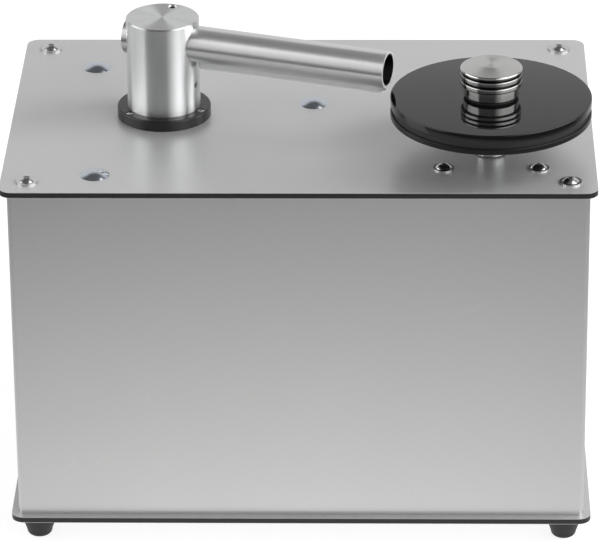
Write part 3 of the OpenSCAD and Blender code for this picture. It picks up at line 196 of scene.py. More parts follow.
def wear_group():
    """Sparse fine scratches and handling smears, as two masks."""
    name = "Handling wear"
    if name in bpy.data.node_groups:
        return bpy.data.node_groups[name]
    group, given, result = new_group(
        name,
        [("Vector", "NodeSocketVector", None), ("Scale", "NodeSocketFloat", 40.0)],
        [("Scratches", "NodeSocketFloat"), ("Smears", "NodeSocketFloat")],
    )
    warp = put(
        group, "ShaderNodeTexNoise", {"Vector": given["Vector"], "Scale": 25.0, "Detail": 1.0}
    )
    bent = put(
        group,
        "ShaderNodeVectorMath",
        {0: warp.outputs[1], 1: (0.02, 0.02, 0.02)},
        operation="MULTIPLY",
    )
    place = put(
        group, "ShaderNodeVectorMath", {0: given["Vector"], 1: bent.outputs[0]}, operation="ADD"
    )
    cells = put(
        group,
        "ShaderNodeTexVoronoi",
        {"Vector": place.outputs[0], "Scale": given["Scale"]},
        feature="DISTANCE_TO_EDGE",
    )
    lines = ramp(group, cells.outputs[0], 0.0, 0.012, 1.0, 0.0)
    patches = put(
        group, "ShaderNodeTexNoise", {"Vector": given["Vector"], "Scale": 33.0, "Detail": 2.0}
    )
    sparse = calc(group, "MULTIPLY", lines, ramp(group, patches.outputs[0], 0.56, 0.68))
    smears = ramp(group, patches.outputs[0], 0.35, 0.7)
    group.links.new(sparse, result["Scratches"])
    group.links.new(smears, result["Smears"])
    return group


def use_group(tree, group, inputs):
    """Places a node group in a material and returns its outputs."""
    node = tree.nodes.new("ShaderNodeGroup")
    node.node_tree = group
    for key, value in inputs.items():
        if isinstance(value, bpy.types.NodeSocket):
            tree.links.new(value, node.inputs[key])
        else:
            node.inputs[key].default_value = value
    return node.outputs


def shade(colour, factor):
    """A colour made lighter or darker, as RGBA."""
    return tuple(min(1.0, c * factor) for c in colour[:3]) + (1.0,)


# How far a bump of full strength lifts the surface
BUMP_DISTANCE = 0.03 * MM
# The part of a noise's range that most of its values lie in
NOISE_SPAN = (0.3, 0.7)
# How far the grain moves the roughness either way
GRAIN_SPREAD = 0.04


class Finish:
    """A material with its Principled shader and Object coordinates at hand."""

    def __init__(self, name, **fixed):
        self.material = bpy.data.materials.new(name)
        self.material.use_nodes = True
        self.tree = self.material.node_tree
        self.shader = self.tree.nodes["Principled BSDF"]
        for key, value in fixed.items():
            self.shader.inputs[key.replace("_", " ")].default_value = value
        self.place = self.tree.nodes.new("ShaderNodeTexCoord").outputs["Object"]

    def feed(self, socket, value):
        """Links a value to an input of the shader."""
        self.tree.links.new(value, self.shader.inputs[socket])

    def vector(self, operation, first, second=(0.0, 0.0, 0.0)):
        """A vector math node's outputs: the vector, and the value by its name."""
        return put(
            self.tree, "ShaderNodeVectorMath", {0: first, 1: second}, operation=operation
        ).outputs

    def arm(self, centre):
        """The vector from a point to the shaded place."""
        return self.vector("SUBTRACT", self.place, tuple(centre))[0]

    def moved(self, centre, turn=(0.0, 0.0, 0.0)):
        """Object coordinates with their origin at a point, then turned."""
        return put(
            self.tree, "ShaderNodeMapping", {"Vector": self.arm(centre), "Rotation": turn}
        ).outputs[0]

    def height(self):
        """The Z of the object's own place."""
        return put(self.tree, "ShaderNodeSeparateXYZ", {0: self.place}).outputs[2]

    def between(self, low, high):
        """A mask that is 1 between two heights."""
        height = self.height()
        above = calc(self.tree, "GREATER_THAN", height, low)
        return calc(self.tree, "MULTIPLY", above, calc(self.tree, "LESS_THAN", height, high))

    def cover(self, mask, grey):
        """Lays a plain grey over the base colour where the mask is 1."""
        below = self.shader.inputs["Base Color"].links[0].from_socket
        self.feed("Base Color", blend_colour(self.tree, mask, below, (grey, grey, grey, 1.0)))

    def bump(self, value, strength, distance):
        """Lifts the shaded surface by a value."""
        node = put(
            self.tree,
            "ShaderNodeBump",
            {"Height": value, "Strength": strength, "Distance": distance},
        )
        self.feed("Normal", node.outputs[0])


def grained(
    name,
    colour,
    rough,
    metallic,
    grain_scale=1500.0,
    depth=0.06,
    tone=0.06,
    scratches=0.0,
    bump_distance=BUMP_DISTANCE,
    **fixed,
):
    """An evenly grained surface: sheet metal, moulded plastic or rubber."""
    made = Finish(name, Metallic=metallic, **fixed)
    tree = made.tree
    grain = use_group(tree, grain_group(), {"Vector": made.place, "Grain Scale": grain_scale})
    wear = use_group(tree, wear_group(), {"Vector": made.place})
    light = shade(colour, 1.0 + tone)
    tint = blend_colour(tree, grain["Grain"], shade(colour, 1.0 - tone), light)
    cloud = blend_colour(tree, calc(tree, "MULTIPLY", grain["Cloud"], 0.25), tint, light)
    scratched = calc(tree, "MULTIPLY", wear["Scratches"], scratches)
    made.feed("Base Color", blend_colour(tree, scratched, cloud, shade(colour, 1.5)))
    base = ramp(tree, grain["Grain"], *NOISE_SPAN, rough - GRAIN_SPREAD, rough + GRAIN_SPREAD)
    # Smears of handling are a little smoother
    made.feed("Roughness", calc(tree, "MULTIPLY_ADD", wear["Smears"], -0.03, base))
    made.bump(grain["Grain"], depth, bump_distance)
    return made


def turned(
    name,
    colour,
    rough,
    centre,
    turn=(0.0, 0.0, 0.0),
    mark_scale=2500.0,
    depth=0.2,
    tone=0.08,
    rough_span=0.1,
    metallic=1.0,
    along=(0.0, 0.0, 1.0),
    comb=0.0,
    **fixed,
):
    """A lathe-turned surface about an axis; comb spreads its highlights across the marks."""
    made = Finish(name, Metallic=metallic, **fixed)
    tree = made.tree
    if comb > 0:
        around = made.vector("CROSS_PRODUCT", tuple(along), made.arm(centre))[0]
        world = put(
            tree,
            "ShaderNodeVectorTransform",
            {0: around},
            vector_type="VECTOR",
            convert_from="OBJECT",
            convert_to="WORLD",
        )
        made.feed("Tangent", world.outputs[0])
        made.shader.inputs["Anisotropic"].default_value = comb
        made.shader.inputs["Anisotropic Rotation"].default_value = 0.25
    marks = use_group(
        tree, turning_group(), {"Vector": made.moved(centre, turn), "Mark Scale": mark_scale}
    )
    dark = shade(colour, 1.0 - tone)
    tint = blend_colour(tree, marks["Marks"], dark, shade(colour, 1.0 + tone))
    bands = calc(tree, "MULTIPLY", marks["Bands"], 0.3)
    made.feed("Base Color", blend_colour(tree, bands, tint, dark))
    half = rough_span / 2
    made.feed("Roughness", ramp(tree, marks["Marks"], *NOISE_SPAN, rough - half, rough + half))
    made.bump(marks["Marks"], depth, BUMP_DISTANCE)
    return made


def dress(finish, *names):
    """Gives CAD nodes a material."""
    for name in names:
        slots = NODES[name].material_slots
        if not slots:
            NODES[name].data.materials.append(finish.material)
        for entry in slots:
            entry.material = finish.material


# Mesh helpers


def keep(bm, name, finish, body, replaced=(), sharp=30.0):
    """Turns a bmesh into a finished piece that rides on a body."""
    mesh = bpy.data.meshes.new(name)
    for face in bm.faces:
        face.smooth = True
    bm.to_mesh(mesh)
    bm.free()
    mesh.set_sharp_from_angle(angle=math.radians(sharp))
    mesh.materials.append(finish.material)
    piece = bpy.data.objects.new(name, mesh)
    bpy.context.scene.collection.objects.link(piece)
    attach(piece, body)
    if replaced:
        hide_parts(*replaced)
    return piece


def spun(profile, centre, steps, closed=False):
    """Spins a profile of (radius, height) points, in metres, about Z through a centre."""
    bm = bmesh.new()
    points = [bm.verts.new((centre[0] + r, centre[1], centre[2] + z)) for r, z in profile]
    edges = [bm.edges.new(pair) for pair in zip(points, points[1:])]
    if closed:
        edges.append(bm.edges.new((points[-1], points[0])))
    bmesh.ops.spin(
        bm,
        geom=points + edges,
        cent=centre,
        axis=(0, 0, 1),
        angle=math.tau,
        steps=steps,
        use_merge=True,
        use_duplicate=False,
    )
    bmesh.ops.remove_doubles(bm, verts=bm.verts, dist=1e-7)
    bmesh.ops.recalc_face_normals(bm, faces=bm.faces)
    return bm


# Steps of a spun ring that one knurled ridge takes with its groove
RIDGE_STEPS = 3


def knurl(bm, centre, rows, steps, depth):
    """Presses slanting grooves into the given rows of a spun ring."""
    middle_point = Vector(centre)
    pressed = []
    widest = 0.0
    for vert in bm.verts:
        arm = vert.co - middle_point
        row = rows.get(round(arm.z / MM, 3))
        if row is None:
            continue
        widest = max(widest, arm.xy.length)
        if (round(math.atan2(arm.y, arm.x) / math.tau * steps) + row) % RIDGE_STEPS:
            pressed.append(vert)
    factor = 1.0 - depth / widest
    bmesh.ops.scale(
        bm, vec=(factor, factor, 1.0), space=Matrix.Translation(-middle_point), verts=pressed
    )


def rounded(corners, radius, segments):
    """A profile whose inner corners are rounded, each by the radius or its own."""
    made = [corners[0][:2]]
    for i in range(1, len(corners) - 1):
        here = Vector(corners[i][:2])
        r = corners[i][2] if len(corners[i]) > 2 else radius
        before = (Vector(corners[i - 1][:2]) - here).normalized()
        after = (Vector(corners[i + 1][:2]) - here).normalized()
        half = before.angle(after) / 2
        if r <= 0 or half > math.radians(88):
            made.append(tuple(here))
            continue
        reach = r / math.tan(half)
        first, last = here + before * reach, here + after * reach
        centre = here + (before + after).normalized() * (r / math.sin(half))
        a, b = first - centre, last - centre
        for k in range(segments + 1):
            t = k / segments
            point = (a * (1 - t) + b * t).normalized() * r + centre
            made.append(tuple(point))
    made.append(corners[-1][:2])
    return made


def length_property(title, words, value):
    """A size in metres."""
    return FloatProperty(name=title, description=words, default=value, unit="LENGTH", precision=5)


class CleanerSizes(PropertyGroup):
    """Fine sizes that the pieces of the scene take."""

    knurl_count: IntProperty(
        name="Knurl Count", description="Ridges around a grip ring", default=120, min=60, max=240
    )
    knurl_depth: length_property("Knurl Depth", "Depth of the knurl", 0.12 * MM)
    disc_round: length_property("Disc Edge", "Rounding of the discs' edges", 0.5 * MM)
    felt_pile: length_property("Felt Pile", "Height of the velvet's uneven pile", 0.12 * MM)
    floor_size: length_property("Floor Size", "Half the width of the studio floor", 6.0)


def colour_property(title, words, value):
    """A linear colour."""
    return FloatVectorProperty(
        name=title, description=words, default=value, subtype="COLOR", min=0.0, max=1.0
    )


class CleanerColours(PropertyGroup):
    """Colours of the finishes."""

    deck: colour_property("Deck", "Satin aluminium of the plates", (0.56, 0.565, 0.562))
    wall: colour_property("Walls", "Satin aluminium of the walls", (0.66, 0.66, 0.657))
    polished: colour_property("Polished", "Turned aluminium of the column", (0.74, 0.745, 0.75))
    tube: colour_property("Tube", "Brushed aluminium of the tube", (0.82, 0.825, 0.82))
    steel: colour_property("Knob", "Turned steel of the knob", (0.62, 0.615, 0.605))
    stainless: colour_property("Stainless", "Bright screws", (0.66, 0.66, 0.66))
    zinc: colour_property("Zinc", "Blue zinc of the long bolts", (0.60, 0.64, 0.70))
    black: colour_property("Black Metal", "Satin black anodising", (0.010, 0.010, 0.011))
    gloss: colour_property("Clamp Disc", "Polished black of the clamp disc", (0.004, 0.004, 0.004))
    rubber: colour_property("Rubber", "Feet, mat and seals", (0.012, 0.012, 0.0125))
    plastic: colour_property("Plastic", "Moulded black plastic", (0.025, 0.025, 0.026))
    felt: colour_property("Felt", "Pale velvet under the lip", (0.72, 0.72, 0.70))
    tank: colour_property("Tank", "Milky tank plastic", (0.75, 0.78, 0.80))
    cock: colour_property("Cock", "Red plastic of the drain cock", (0.42, 0.03, 0.025))


def sizes():
    """The scene's fine sizes."""
    return bpy.context.scene.cleaner_sizes


def colours():
    """The scene's finish colours."""
    return bpy.context.scene.cleaner_colours


class CLEANER_OT_case(Operator):
    """Finish the deck, the base plate, the walls and the back panel"""

    bl_idname = "cleaner.case"
    bl_label = "Case"

    def execute(self, context):
        tone = colours()
        # Each plate is a black core between two thin skins of metal
        skin, core_grey = 0.2 * MM, 0.012
        metallic = 0.5
        for name, node in (("deck_plate", "top_plate"), ("base_plate", "bottom_plate")):
            low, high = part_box(node)
            made = grained(
                name,
                tone.deck,
                0.36,
                metallic,
                grain_scale=1400.0,
                depth=0.10,
                tone=0.05,
                scratches=0.15,
            )
            core = made.between(low.z + skin, high.z - skin)
            made.cover(core, core_grey)
            made.feed("Metallic", calc(made.tree, "MULTIPLY_ADD", core, -metallic, metallic))
            dress(made, node)
        wall = grained(
            "wall_sheet",
            tone.wall,
            0.38,
            1.0,
            grain_scale=1100.0,
            depth=0.08,
            tone=0.05,
            scratches=0.1,
        )
        dress(wall, "body_shell", "back_panel")
        return {"FINISHED"}


class CLEANER_OT_feet(Operator):
    """Finish the rubber feet and the inner posts and studs"""

    bl_idname = "cleaner.feet"
    bl_label = "Feet and Posts"

    def execute(self, context):
        tone = colours()
        rubber = grained(
            "foot_rubber", tone.rubber, 0.55, 0.0, grain_scale=900.0, depth=0.25, tone=0.25
        )
        dress(rubber, "feet")
        posts = turned("post_aluminium", tone.tube, 0.3, (0, 0, 0))
        dress(posts, "corner_posts", "support_tubes")
        studs = grained("stud_zinc", tone.zinc, 0.3, 1.0)
        dress(studs, "foot_studs", "bolt_nuts")
        return {"FINISHED"}


class CLEANER_OT_fasteners(Operator):
    """Finish the screws and the bolt heads"""

    bl_idname = "cleaner.fasteners"
    bl_label = "Fasteners"

    def execute(self, context):
        tone = colours()
        bright = grained(
            "stainless_head",
            tone.stainless,
            0.2,
            1.0,
            grain_scale=2600.0,
            depth=0.15,
            tone=0.08,
            scratches=0.4,
        )
        dress(bright, "corner_screws", "motor_screws", "ring_screws", "back_panel_screws")
        dress(bright, "height_screw", "guide_screw")
        zinc = grained(
            "zinc_head",
            tone.zinc,
            0.2,
            1.0,
            grain_scale=1400.0,
            depth=0.3,
            tone=0.16,
            scratches=0.4,
        )
        dress(zinc, "carriage_bolts")
        dark = grained("blackened_steel", (0.12, 0.12, 0.13), 0.35, 1.0, grain_scale=2400.0)
        dress(dark, "hub_grub_screw", "knob_clip", "lift_spring")
        return {"FINISHED"}


class CLEANER_OT_column(Operator):
    """Finish the column, its base ring and the pivot"""

    bl_idname = "cleaner.column"
    bl_label = "Column"

    def execute(self, context):
        tone = colours()
        column = turned(
            "polished_column",
            tone.polished,
            0.3,
            COLUMN,
            mark_scale=3200.0,
            depth=0.008,
            tone=0.025,
            rough_span=0.03,
            comb=1.0,
        )
        dress(column, "arm_column", "pivot_tube")
        ring = turned("black_ring", tone.black, 0.3, COLUMN, depth=0.1, tone=0.2, metallic=0.0)
        dress(ring, "arm_base_ring")
        return {"FINISHED"}


class CLEANER_OT_arm(Operator):
    """Finish the suction tube, its plugs and its lip"""

    bl_idname = "cleaner.arm"
    bl_label = "Suction Arm"

    def execute(self, context):
        tone = colours()
        axis = Vector((COLUMN.x, COLUMN.y, middle("tube_rear_plug").z))
        forward = (math.cos(ARM_ANGLE), math.sin(ARM_ANGLE), 0.0)
        upright = Matrix.Rotation(math.radians(-90), 3, "Y") @ Matrix.Rotation(-ARM_ANGLE, 3, "Z")
        tube = turned(
            "brushed_tube",
            tone.tube,
            0.3,
            axis,
            turn=upright.to_euler(),
            mark_scale=3600.0,
            depth=0.01,
            tone=0.04,
            rough_span=0.05,
            along=forward,
            comb=0.9,
        )
        tree = tube.tree
        arm = tube.arm(axis)
        reach = tube.vector("DOT_PRODUCT", arm, forward)["Value"]
        # The cut face of the tube's front end is plainer than its brushed side, and painted lighter
        # as a painted highlight for the light that catches it
        end_highlight_grey, bore_shade_grey = 0.62, 0.06
        end = calc(tree, "GREATER_THAN", reach, (ARM_REACH - 0.05) * MM)
        tube.cover(end, end_highlight_grey)
        tube.feed("Metallic", calc(tree, "MULTIPLY_ADD", end, -0.8, 1.0))
        # Painted shade: the bore is painted dark to stand in for the shade inside the tube
        span = tube.vector("LENGTH", arm)["Value"]
        square = calc(tree, "MULTIPLY", span, span)
        aside = calc(tree, "SUBTRACT", square, calc(tree, "MULTIPLY", reach, reach))
        tube.cover(calc(tree, "LESS_THAN", aside, (TUBE_BORE * MM) ** 2), bore_shade_grey)
        dress(tube, "arm_tube")
        lip = grained("lip_aluminium", tone.polished, 0.48, 0.7, grain_scale=1800.0, depth=0.08)
        dress(lip, "suction_lip", "tube_rear_plug")
        plug = grained(
            "plug_plastic", tone.rubber, 0.3, 0.0, grain_scale=1200.0, Specular_IOR_Level=0.2
        )
        dress(plug, "tube_end_plug")
        felt = grained(
            "lip_velvet",
            tone.felt,
            0.9,
            0.0,
            grain_scale=2500.0,
            depth=0.6,
            tone=0.15,
            bump_distance=sizes().felt_pile,
            Sheen_Weight=0.5,
        )
        dress(felt, "lip_felt")
        return {"FINISHED"}


class CLEANER_OT_platter(Operator):
    """Finish the platter, the mat, the clamp disc and the hub"""

    bl_idname = "cleaner.platter"
    bl_label = "Platter and Clamp"

    def execute(self, context):
        tone = colours()
        platter = turned(
            "platter_black",
            tone.black,
            0.3,
            SPINDLE,
            depth=0.08,
            tone=0.2,
            metallic=0.0,
            Specular_IOR_Level=0.25,
        )
        disc = turned(
            "clamp_gloss",
            tone.gloss,
            0.03,
            SPINDLE,
            mark_scale=700.0,
            depth=0.0,
            tone=0.1,
            rough_span=0.02,
            metallic=0.0,
        )
        edge = sizes().disc_round
        # The bore and its recess in millimetres, as the profile's corners before and after the rim
        through = ([(4.05, 0)], [(8.05, 3), (8.05, 1.8), (4.05, 1.8)])
        recessed = ([(5.05, 1.4), (9, 1.4), (9, 0)], [(5.05, 4.2)])
        for node, name, finish, body, slot, hollow in (
            ("platter_disc", "platter", platter, "platter", "black_alu", through),
            ("clamp_disc", "clamp_disc_polished", disc, "clamp", "black_gloss", recessed),
        ):
            low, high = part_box(node)
            radius = (high.x - low.x) / 2
            centre = (SPINDLE.x, SPINDLE.y, low.z)
            top = high.z - low.z
            first, last = ([(r * MM, z * MM, 0) for r, z in part] for part in hollow)
            profile = rounded(first + [(radius, 0), (radius, top)] + last, edge, 5)
            keep(spun(profile, centre, 160, closed=True), name, finish, body, (node,))
        rubber = grained(
            "mat_rubber", tone.rubber, 0.6, 0.0, grain_scale=1300.0, depth=0.3, tone=0.2
        )
        dress(rubber, "platter_mat", "clamp_seal", "knob_washer", "tank_gasket")
        hub = turned("hub_aluminium", tone.polished, 0.2, SPINDLE, depth=0.1, comb=0.8)
        dress(hub, "platter_hub")
        steel = turned("spindle_steel", tone.stainless, 0.2, SPINDLE)
        dress(steel, "spindle", "output_shaft", "fan_shaft")
        bronze = turned("bush_bronze", (0.45, 0.30, 0.13), 0.35, SPINDLE)
        dress(bronze, "shaft_bush")
        return {"FINISHED"}


class CLEANER_OT_knob(Operator):
    """Build the turned clamping knob with its knurled rings"""

    bl_idname = "cleaner.knob"
    bl_label = "Clamping Knob"

    def execute(self, context):
        tone = colours()
        steel = turned(
            "knob_steel",
            tone.steel,
            0.16,
            SPINDLE,
            mark_scale=2600.0,
            depth=0.03,
            tone=0.06,
            rough_span=0.06,
            comb=0.85,
        )
        size = sizes()
        # Radii and heights above the washer, in millimetres
        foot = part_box("knob_washer")[1].z
        stem = (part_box("knob")[0].z - foot) / MM
        neck, ring, bead = 13.9, 15.4, 0.8
        rings = ((5.3, 8.2), (8.8, 11.7))
        rim_foot, rim_top, rim_round = 12.3, 14.4, 0.9
        flat_radius, flat_top, flat_dip = 6.8, 16.4, 0.2
        bore, bore_top = 3.05, stem + 13.8
        stem_radius, groove_radius, groove = 5, 4.3, (stem + 0.4, stem + 1.4)

        # Painted shade: the grooves between the rings are darkened to stand in for the shade that
        # falls in them
        groove_shade_grey, groove_shade_strength = 0.03, 0.95
        tree = steel.tree
        parts = put(tree, "ShaderNodeSeparateXYZ", {0: steel.arm(SPINDLE)}).outputs
        flat = put(tree, "ShaderNodeCombineXYZ", {0: parts[0], 1: parts[1]}).outputs[0]
        radius = steel.vector("LENGTH", flat)["Value"]
        band = steel.between(foot + (rings[0][1] - 1.2) * MM, foot + (rim_foot + 0.6) * MM)
        groove_shade = ramp(tree, radius, (ring - 0.4) * MM, (ring - 0.05) * MM, groove_shade_strength, 0.0)
        steel.cover(calc(tree, "MULTIPLY", band, groove_shade), groove_shade_grey)
        # The cone and its flat are left as turned, coarser than the polished sides
        coarser = 0.16
        top = calc(tree, "GREATER_THAN", steel.height(), foot + (rim_top - 0.05) * MM)
        fine = steel.shader.inputs["Roughness"].links[0].from_socket
        steel.feed("Roughness", calc(tree, "MULTIPLY_ADD", top, coarser, fine))

        # The profile runs from the closed end of the bore down the stem and up the outside
        corners = [
            (0, bore_top, 0),
            (bore, bore_top, 0),
            (bore, stem, 0),
            (stem_radius, stem, 0.2),
            (stem_radius, groove[0], 0),
            (groove_radius, groove[0], 0),
            (groove_radius, groove[1], 0),
            (stem_radius, groove[1], 0),
            (stem_radius, 0, 0),
            (neck, 0, bead),
        ]
        for low, high in rings:
            corners += [(neck, low, 0), (ring, low, bead), (ring, (low + high) / 2, 0)]
            corners += [(ring, high, bead), (neck, high, 0)]
        corners += [(neck, rim_foot, 0), (ring, rim_foot, rim_round), (ring, rim_top, rim_round)]
        corners += [(ring - 1, rim_top, 0), (flat_radius, flat_top, 0.15)]
        corners += [(0, flat_top - flat_dip, 0)]
        profile = rounded(corners, 0.0, 6)
        heights = {round(z, 3) for r, z in profile if r > ring - 0.5 and z < rings[1][1]}
        rows = {z: row for row, z in enumerate(sorted(heights))}
        steps = RIDGE_STEPS * size.knurl_count
        centre = (SPINDLE.x, SPINDLE.y, foot)
        bm = spun([(r * MM, z * MM) for r, z in profile], centre, steps)
        knurl(bm, centre, rows, steps, size.knurl_depth)
        keep(bm, "knob_turned", steel, "clamp_knob", ("knob",), 40.0)
        return {"FINISHED"}


class CLEANER_OT_rear(Operator):
    """Finish the grille, the mains inlet and the switches"""

    bl_idname = "cleaner.rear"
    bl_label = "Grille, Inlet and Switches"

    def execute(self, context):
        tone = colours()
        moulded = grained(
            "moulded_black", tone.plastic, 0.42, 0.0, grain_scale=1000.0, depth=0.3, tone=0.2
        )
        dress(moulded, "exhaust_grille", "mains_inlet", "switch_frames")
        dress(moulded, "bolt_spacers", "tank_lid", "exhaust_duct")
        glossy = grained(
            "rocker_black", tone.plastic, 0.22, 0.0, grain_scale=800.0, depth=0.1, tone=0.15
        )
        dress(glossy, "motor_rocker", "vacuum_rocker")
        return {"FINISHED"}


class CLEANER_OT_inner_works(Operator):
    """Finish the suction unit, the drive and the drain"""

    bl_idname = "cleaner.inner_works"
    bl_label = "Inner Works"

    def execute(self, context):
        tone = colours()
        casing = grained("motor_casing", (0.30, 0.31, 0.32), 0.4, 1.0, grain_scale=900.0)
        dress(casing, "gear_unit", "drive_motor", "vacuum_motor")
        sheet = grained("inner_sheet", tone.wall, 0.4, 1.0, grain_scale=900.0)
        dress(sheet, "fan_cover", "fan_wheel", "motor_cradle")
        milky = grained("tank_milky", tone.tank, 0.45, 0.0, grain_scale=500.0, depth=0.1, tone=0.04)
        dress(milky, "tank_body", "splash_hood")
        pale = grained("pale_plastic", (0.80, 0.80, 0.78), 0.4, 0.0, grain_scale=800.0, tone=0.04)
        dress(pale, "lift_washer", "drain_outlet", "drain_hose")
        red = grained("cock_red", tone.cock, 0.35, 0.0, grain_scale=800.0, tone=0.08)
        dress(red, "drain_cock")
        board = grained("board_green", (0.02, 0.13, 0.05), 0.4, 0.0, grain_scale=300.0, tone=0.2)
        dress(board, "power_board")
        return {"FINISHED"}


# Bearings are in degrees from the front, and a rise is the sine of an angle above the horizon
# Levels of the room in reflections: round the machine, at the ceiling, and behind
ROOM, CEILING, BACKDROP = 0.28, 0.12, 0.7
# The bearings between which the backdrop comes in, and the rises where the room gives way
BACKDROP_BEARINGS = (118.0, 135.0)
ROOM_RISES, CEILING_RISES = (0.4, 0.65), (0.7, 0.86)
# Softboxes beside the machine: first bearing, width of the soft edge there, last bearing, level
SOFTBOXES = ((-116.0, 3.0, -52.0, 2.1), (10.0, 36.0, 110.0, 3.0))
SOFTBOX_FALL, SOFTBOX_RISES = 3.0, (0.62, 0.72)
# The floor as the camera sees it, as its shadow falls on it, and as it gives light back
FLOOR_SEEN, FLOOR_SHADED, FLOOR_BOUNCE = 0.86, 0.28, 0.8
# Area lamps: name, place, size, power, and if reflections show it. The side lamp shapes the
# soft shadows only
LAMPS = (
    ("key_softbox", (1.05, -0.25, 1.75), 1.05, 6.0, True),
    ("fill_softbox", (-1.6, -0.5, 1.3), 1.2, 2.0, True),
    ("side_softbox", (1.2, 0.1, 1.1), 0.7, 11.0, False),
)
LAMP_AIM = Vector((0, 0, 0.15))
# The camera, read from the photograph's vanishing points: place, yaw, pitch and roll in
# radians, and the focal length in pixels of a picture that is 600 wide
CAMERA_PLACE = Vector((0.0468237, -2.0201838, 1.0736337))
CAMERA_YAW, CAMERA_PITCH, CAMERA_ROLL = 0.02397, 0.44621, -0.00852
CAMERA_FOCUS, CAMERA_WIDTH = 4323.31, 600
SENSOR_WIDTH = 36.0
WHITE = (1, 1, 1, 1)


def emission(tree, strength):
    """A white emission shader."""
    return put(tree, "ShaderNodeEmission", {"Color": WHITE, "Strength": strength}).outputs[0]


def matt(tree, grey):
    """A plain diffuse shader."""
    return put(tree, "ShaderNodeBsdfDiffuse", {"Color": (grey, grey, grey, 1)}).outputs[0]


class CLEANER_OT_stage(Operator):
    """Set up the floor, the lamps, the world and the camera"""

    bl_idname = "cleaner.stage"
    bl_label = "Studio"

    def execute(self, context):
        scene = context.scene
        scene.view_settings.view_transform = "Standard"
        self.floor()
        self.world(scene)
        self.lamps(scene)
        self.camera(scene)
        return {"FINISHED"}

    def floor(self):
        bm = bmesh.new()
        bmesh.ops.create_grid(bm, x_segments=1, y_segments=1, size=sizes().floor_size)
        mesh = bpy.data.meshes.new("studio_floor")
        bm.to_mesh(mesh)
        bm.free()
        floor = bpy.data.objects.new("studio_floor", mesh)
        bpy.context.scene.collection.objects.link(floor)
        material = bpy.data.materials.new("studio_floor")
        material.use_nodes = True
        tree = material.node_tree
        tree.nodes.clear()
        place = tree.nodes.new("ShaderNodeTexCoord").outputs["Object"]
        path = tree.nodes.new("ShaderNodeLightPath").outputs
        away = put(tree, "ShaderNodeVectorMath", {0: place}, operation="LENGTH").outputs["Value"]
        # The floor's glow in reflections fades away in front of the machine, comes back a
        # little far off, and holds behind it
        close = ramp(tree, away, 0.1, 0.5, 1.0, 0.5)
        near = calc(tree, "MULTIPLY", close, ramp(tree, away, 0.52, 0.66, 1.0, 0.2))
        near = calc(tree, "ADD", near, ramp(tree, away, 0.8, 1.6, 0.0, 0.18))
        depth = put(tree, "ShaderNodeSeparateXYZ", {0: place}).outputs[1]
        behind = ramp(tree, depth, 0.1, 0.4)
        fade = put(
            tree, "ShaderNodeMix", {0: behind, 2: near, 3: BACKDROP}, data_type="FLOAT"
        ).outputs[0]
        # The camera sees a pale floor that still takes the machine's shadow
        seen, shaded = emission(tree, FLOOR_SEEN), matt(tree, FLOOR_SHADED)
        camera_side = put(tree, "ShaderNodeAddShader", {0: seen, 1: shaded}).outputs[0]
        shiny = calc(tree, "MAXIMUM", path["Is Glossy Ray"], path["Is Transmission Ray"])
        mirrored, bounce = emission(tree, fade), matt(tree, FLOOR_BOUNCE)
        other = put(tree, "ShaderNodeMixShader", {0: shiny, 1: bounce, 2: mirrored}).outputs[0]
        final = put(
            tree, "ShaderNodeMixShader", {0: path["Is Camera Ray"], 1: other, 2: camera_side}
        )
        put(tree, "ShaderNodeOutputMaterial", {"Surface": final.outputs[0]})
        mesh.materials.append(material)

    def world(self, scene):
        world = bpy.data.worlds.new("studio_world")
        scene.world = world
        world.use_nodes = True
        tree = world.node_tree
        tree.nodes.clear()
        path = tree.nodes.new("ShaderNodeLightPath").outputs
        toward = tree.nodes.new("ShaderNodeTexCoord").outputs["Generated"]
        parts = put(tree, "ShaderNodeSeparateXYZ", {0: toward}).outputs
        # Bearing from the front, in degrees: right is positive, the back is 180
        front = calc(tree, "MULTIPLY", parts[1], -1.0)
        bearing = calc(tree, "MULTIPLY", calc(tree, "ARCTAN2", parts[0], front), 180 / math.pi)
        behind = calc(tree, "ABSOLUTE", bearing)
        # A pale backdrop behind, a softbox at each side, and a dark gap round the camera
        glow = ramp(tree, behind, *BACKDROP_BEARINGS, 0.0, BACKDROP)
        # Both softboxes stand on the floor and end a little above the machine
        top = ramp(tree, parts[2], *SOFTBOX_RISES, 1.0, 0.0)
        for low, soft, high, strength in SOFTBOXES:
            rise = calc(tree, "MULTIPLY", ramp(tree, bearing, low, low + soft), top)
            fall = ramp(tree, bearing, high - SOFTBOX_FALL, high, 1.0, 0.0)
            box = calc(tree, "MULTIPLY", rise, fall)
            glow = calc(tree, "MULTIPLY_ADD", box, strength, glow)
        room = ramp(tree, parts[2], *ROOM_RISES, ROOM, CEILING)
        level = calc(tree, "MAXIMUM", glow, room)
        # All of it gives way to a dark ceiling overhead
        overhead = ramp(tree, parts[2], *CEILING_RISES)
        mixed = put(
            tree, "ShaderNodeMix", {0: overhead, 2: level, 3: CEILING}, data_type="FLOAT"
        ).outputs[0]
        # The camera itself sees plain white
        around, white = (
            put(tree, "ShaderNodeBackground", {"Color": WHITE, "Strength": value}).outputs[0]
            for value in (mixed, 1.0)
        )
        final = put(tree, "ShaderNodeMixShader", {0: path["Is Camera Ray"], 1: around, 2: white})
        put(tree, "ShaderNodeOutputWorld", {"Surface": final.outputs[0]})

    def lamps(self, scene):
        for name, place, size, power, reflected in LAMPS:
            data = bpy.data.lights.new(name, "AREA")
            data.shape = "SQUARE"
            data.size = size
            data.energy = power
            lamp = bpy.data.objects.new(name, data)
            scene.collection.objects.link(lamp)
            lamp.location = place
            aim = LAMP_AIM - Vector(place)
            lamp.rotation_euler = aim.to_track_quat("-Z", "Y").to_euler()
            lamp.visible_camera = False
            lamp.visible_glossy = reflected

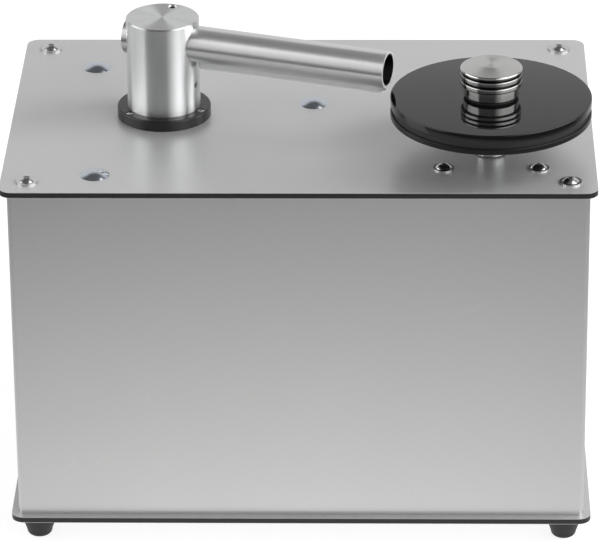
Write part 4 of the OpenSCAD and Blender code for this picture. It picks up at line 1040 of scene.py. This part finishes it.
    def camera(self, scene):
        data = bpy.data.cameras.new("studio_camera")
        camera = bpy.data.objects.new("studio_camera", data)
        scene.collection.objects.link(camera)
        yaw, pitch, roll = CAMERA_YAW, CAMERA_PITCH, CAMERA_ROLL
        forward = Vector(
            (-math.sin(yaw) * math.cos(pitch), math.cos(yaw) * math.cos(pitch), -math.sin(pitch))
        )
        level = Vector((math.cos(yaw), math.sin(yaw), 0.0))
        above = level.cross(forward)
        right = level * math.cos(roll) + above * math.sin(roll)
        up = above * math.cos(roll) - level * math.sin(roll)
        pose = Matrix((right, up, -forward)).transposed().to_4x4()
        pose.translation = CAMERA_PLACE
        camera.matrix_world = pose
        data.sensor_width = SENSOR_WIDTH
        data.lens = SENSOR_WIDTH * CAMERA_FOCUS / CAMERA_WIDTH
        data.clip_end = 50.0
        scene.camera = camera


OPERATORS = (
    CLEANER_OT_case,
    CLEANER_OT_feet,
    CLEANER_OT_fasteners,
    CLEANER_OT_column,
    CLEANER_OT_arm,
    CLEANER_OT_platter,
    CLEANER_OT_knob,
    CLEANER_OT_rear,
    CLEANER_OT_inner_works,
    CLEANER_OT_stage,
)


class CLEANER_PT_tools(Panel):
    """Steps that dress the record cleaning machine"""

    bl_idname = "CLEANER_PT_tools"
    bl_label = "Record Cleaning Machine"
    bl_space_type = "VIEW_3D"
    bl_region_type = "UI"
    bl_category = "Cleaner"

    def draw(self, context):
        layout = self.layout
        for step in OPERATORS:
            layout.operator(step.bl_idname)
        for group in (context.scene.cleaner_sizes, context.scene.cleaner_colours):
            box = layout.box()
            for key in group.bl_rna.properties.keys():
                if key not in ("rna_type", "name"):
                    box.prop(group, key)


CLASSES = (CleanerSizes, CleanerColours, *OPERATORS, CLEANER_PT_tools)


def register():
    for entry in CLASSES:
        bpy.utils.register_class(entry)
    bpy.types.Scene.cleaner_sizes = PointerProperty(type=CleanerSizes)
    bpy.types.Scene.cleaner_colours = PointerProperty(type=CleanerColours)


def unregister():
    del bpy.types.Scene.cleaner_colours
    del bpy.types.Scene.cleaner_sizes
    for entry in reversed(CLASSES):
        bpy.utils.unregister_class(entry)


def main():
    """Runs every step in order."""
    register()
    for step in OPERATORS:
        area, verb = step.bl_idname.split(".")
        getattr(getattr(bpy.ops, area), verb)()
    bpy.context.view_layer.update()


if __name__ == "__main__":
    main()
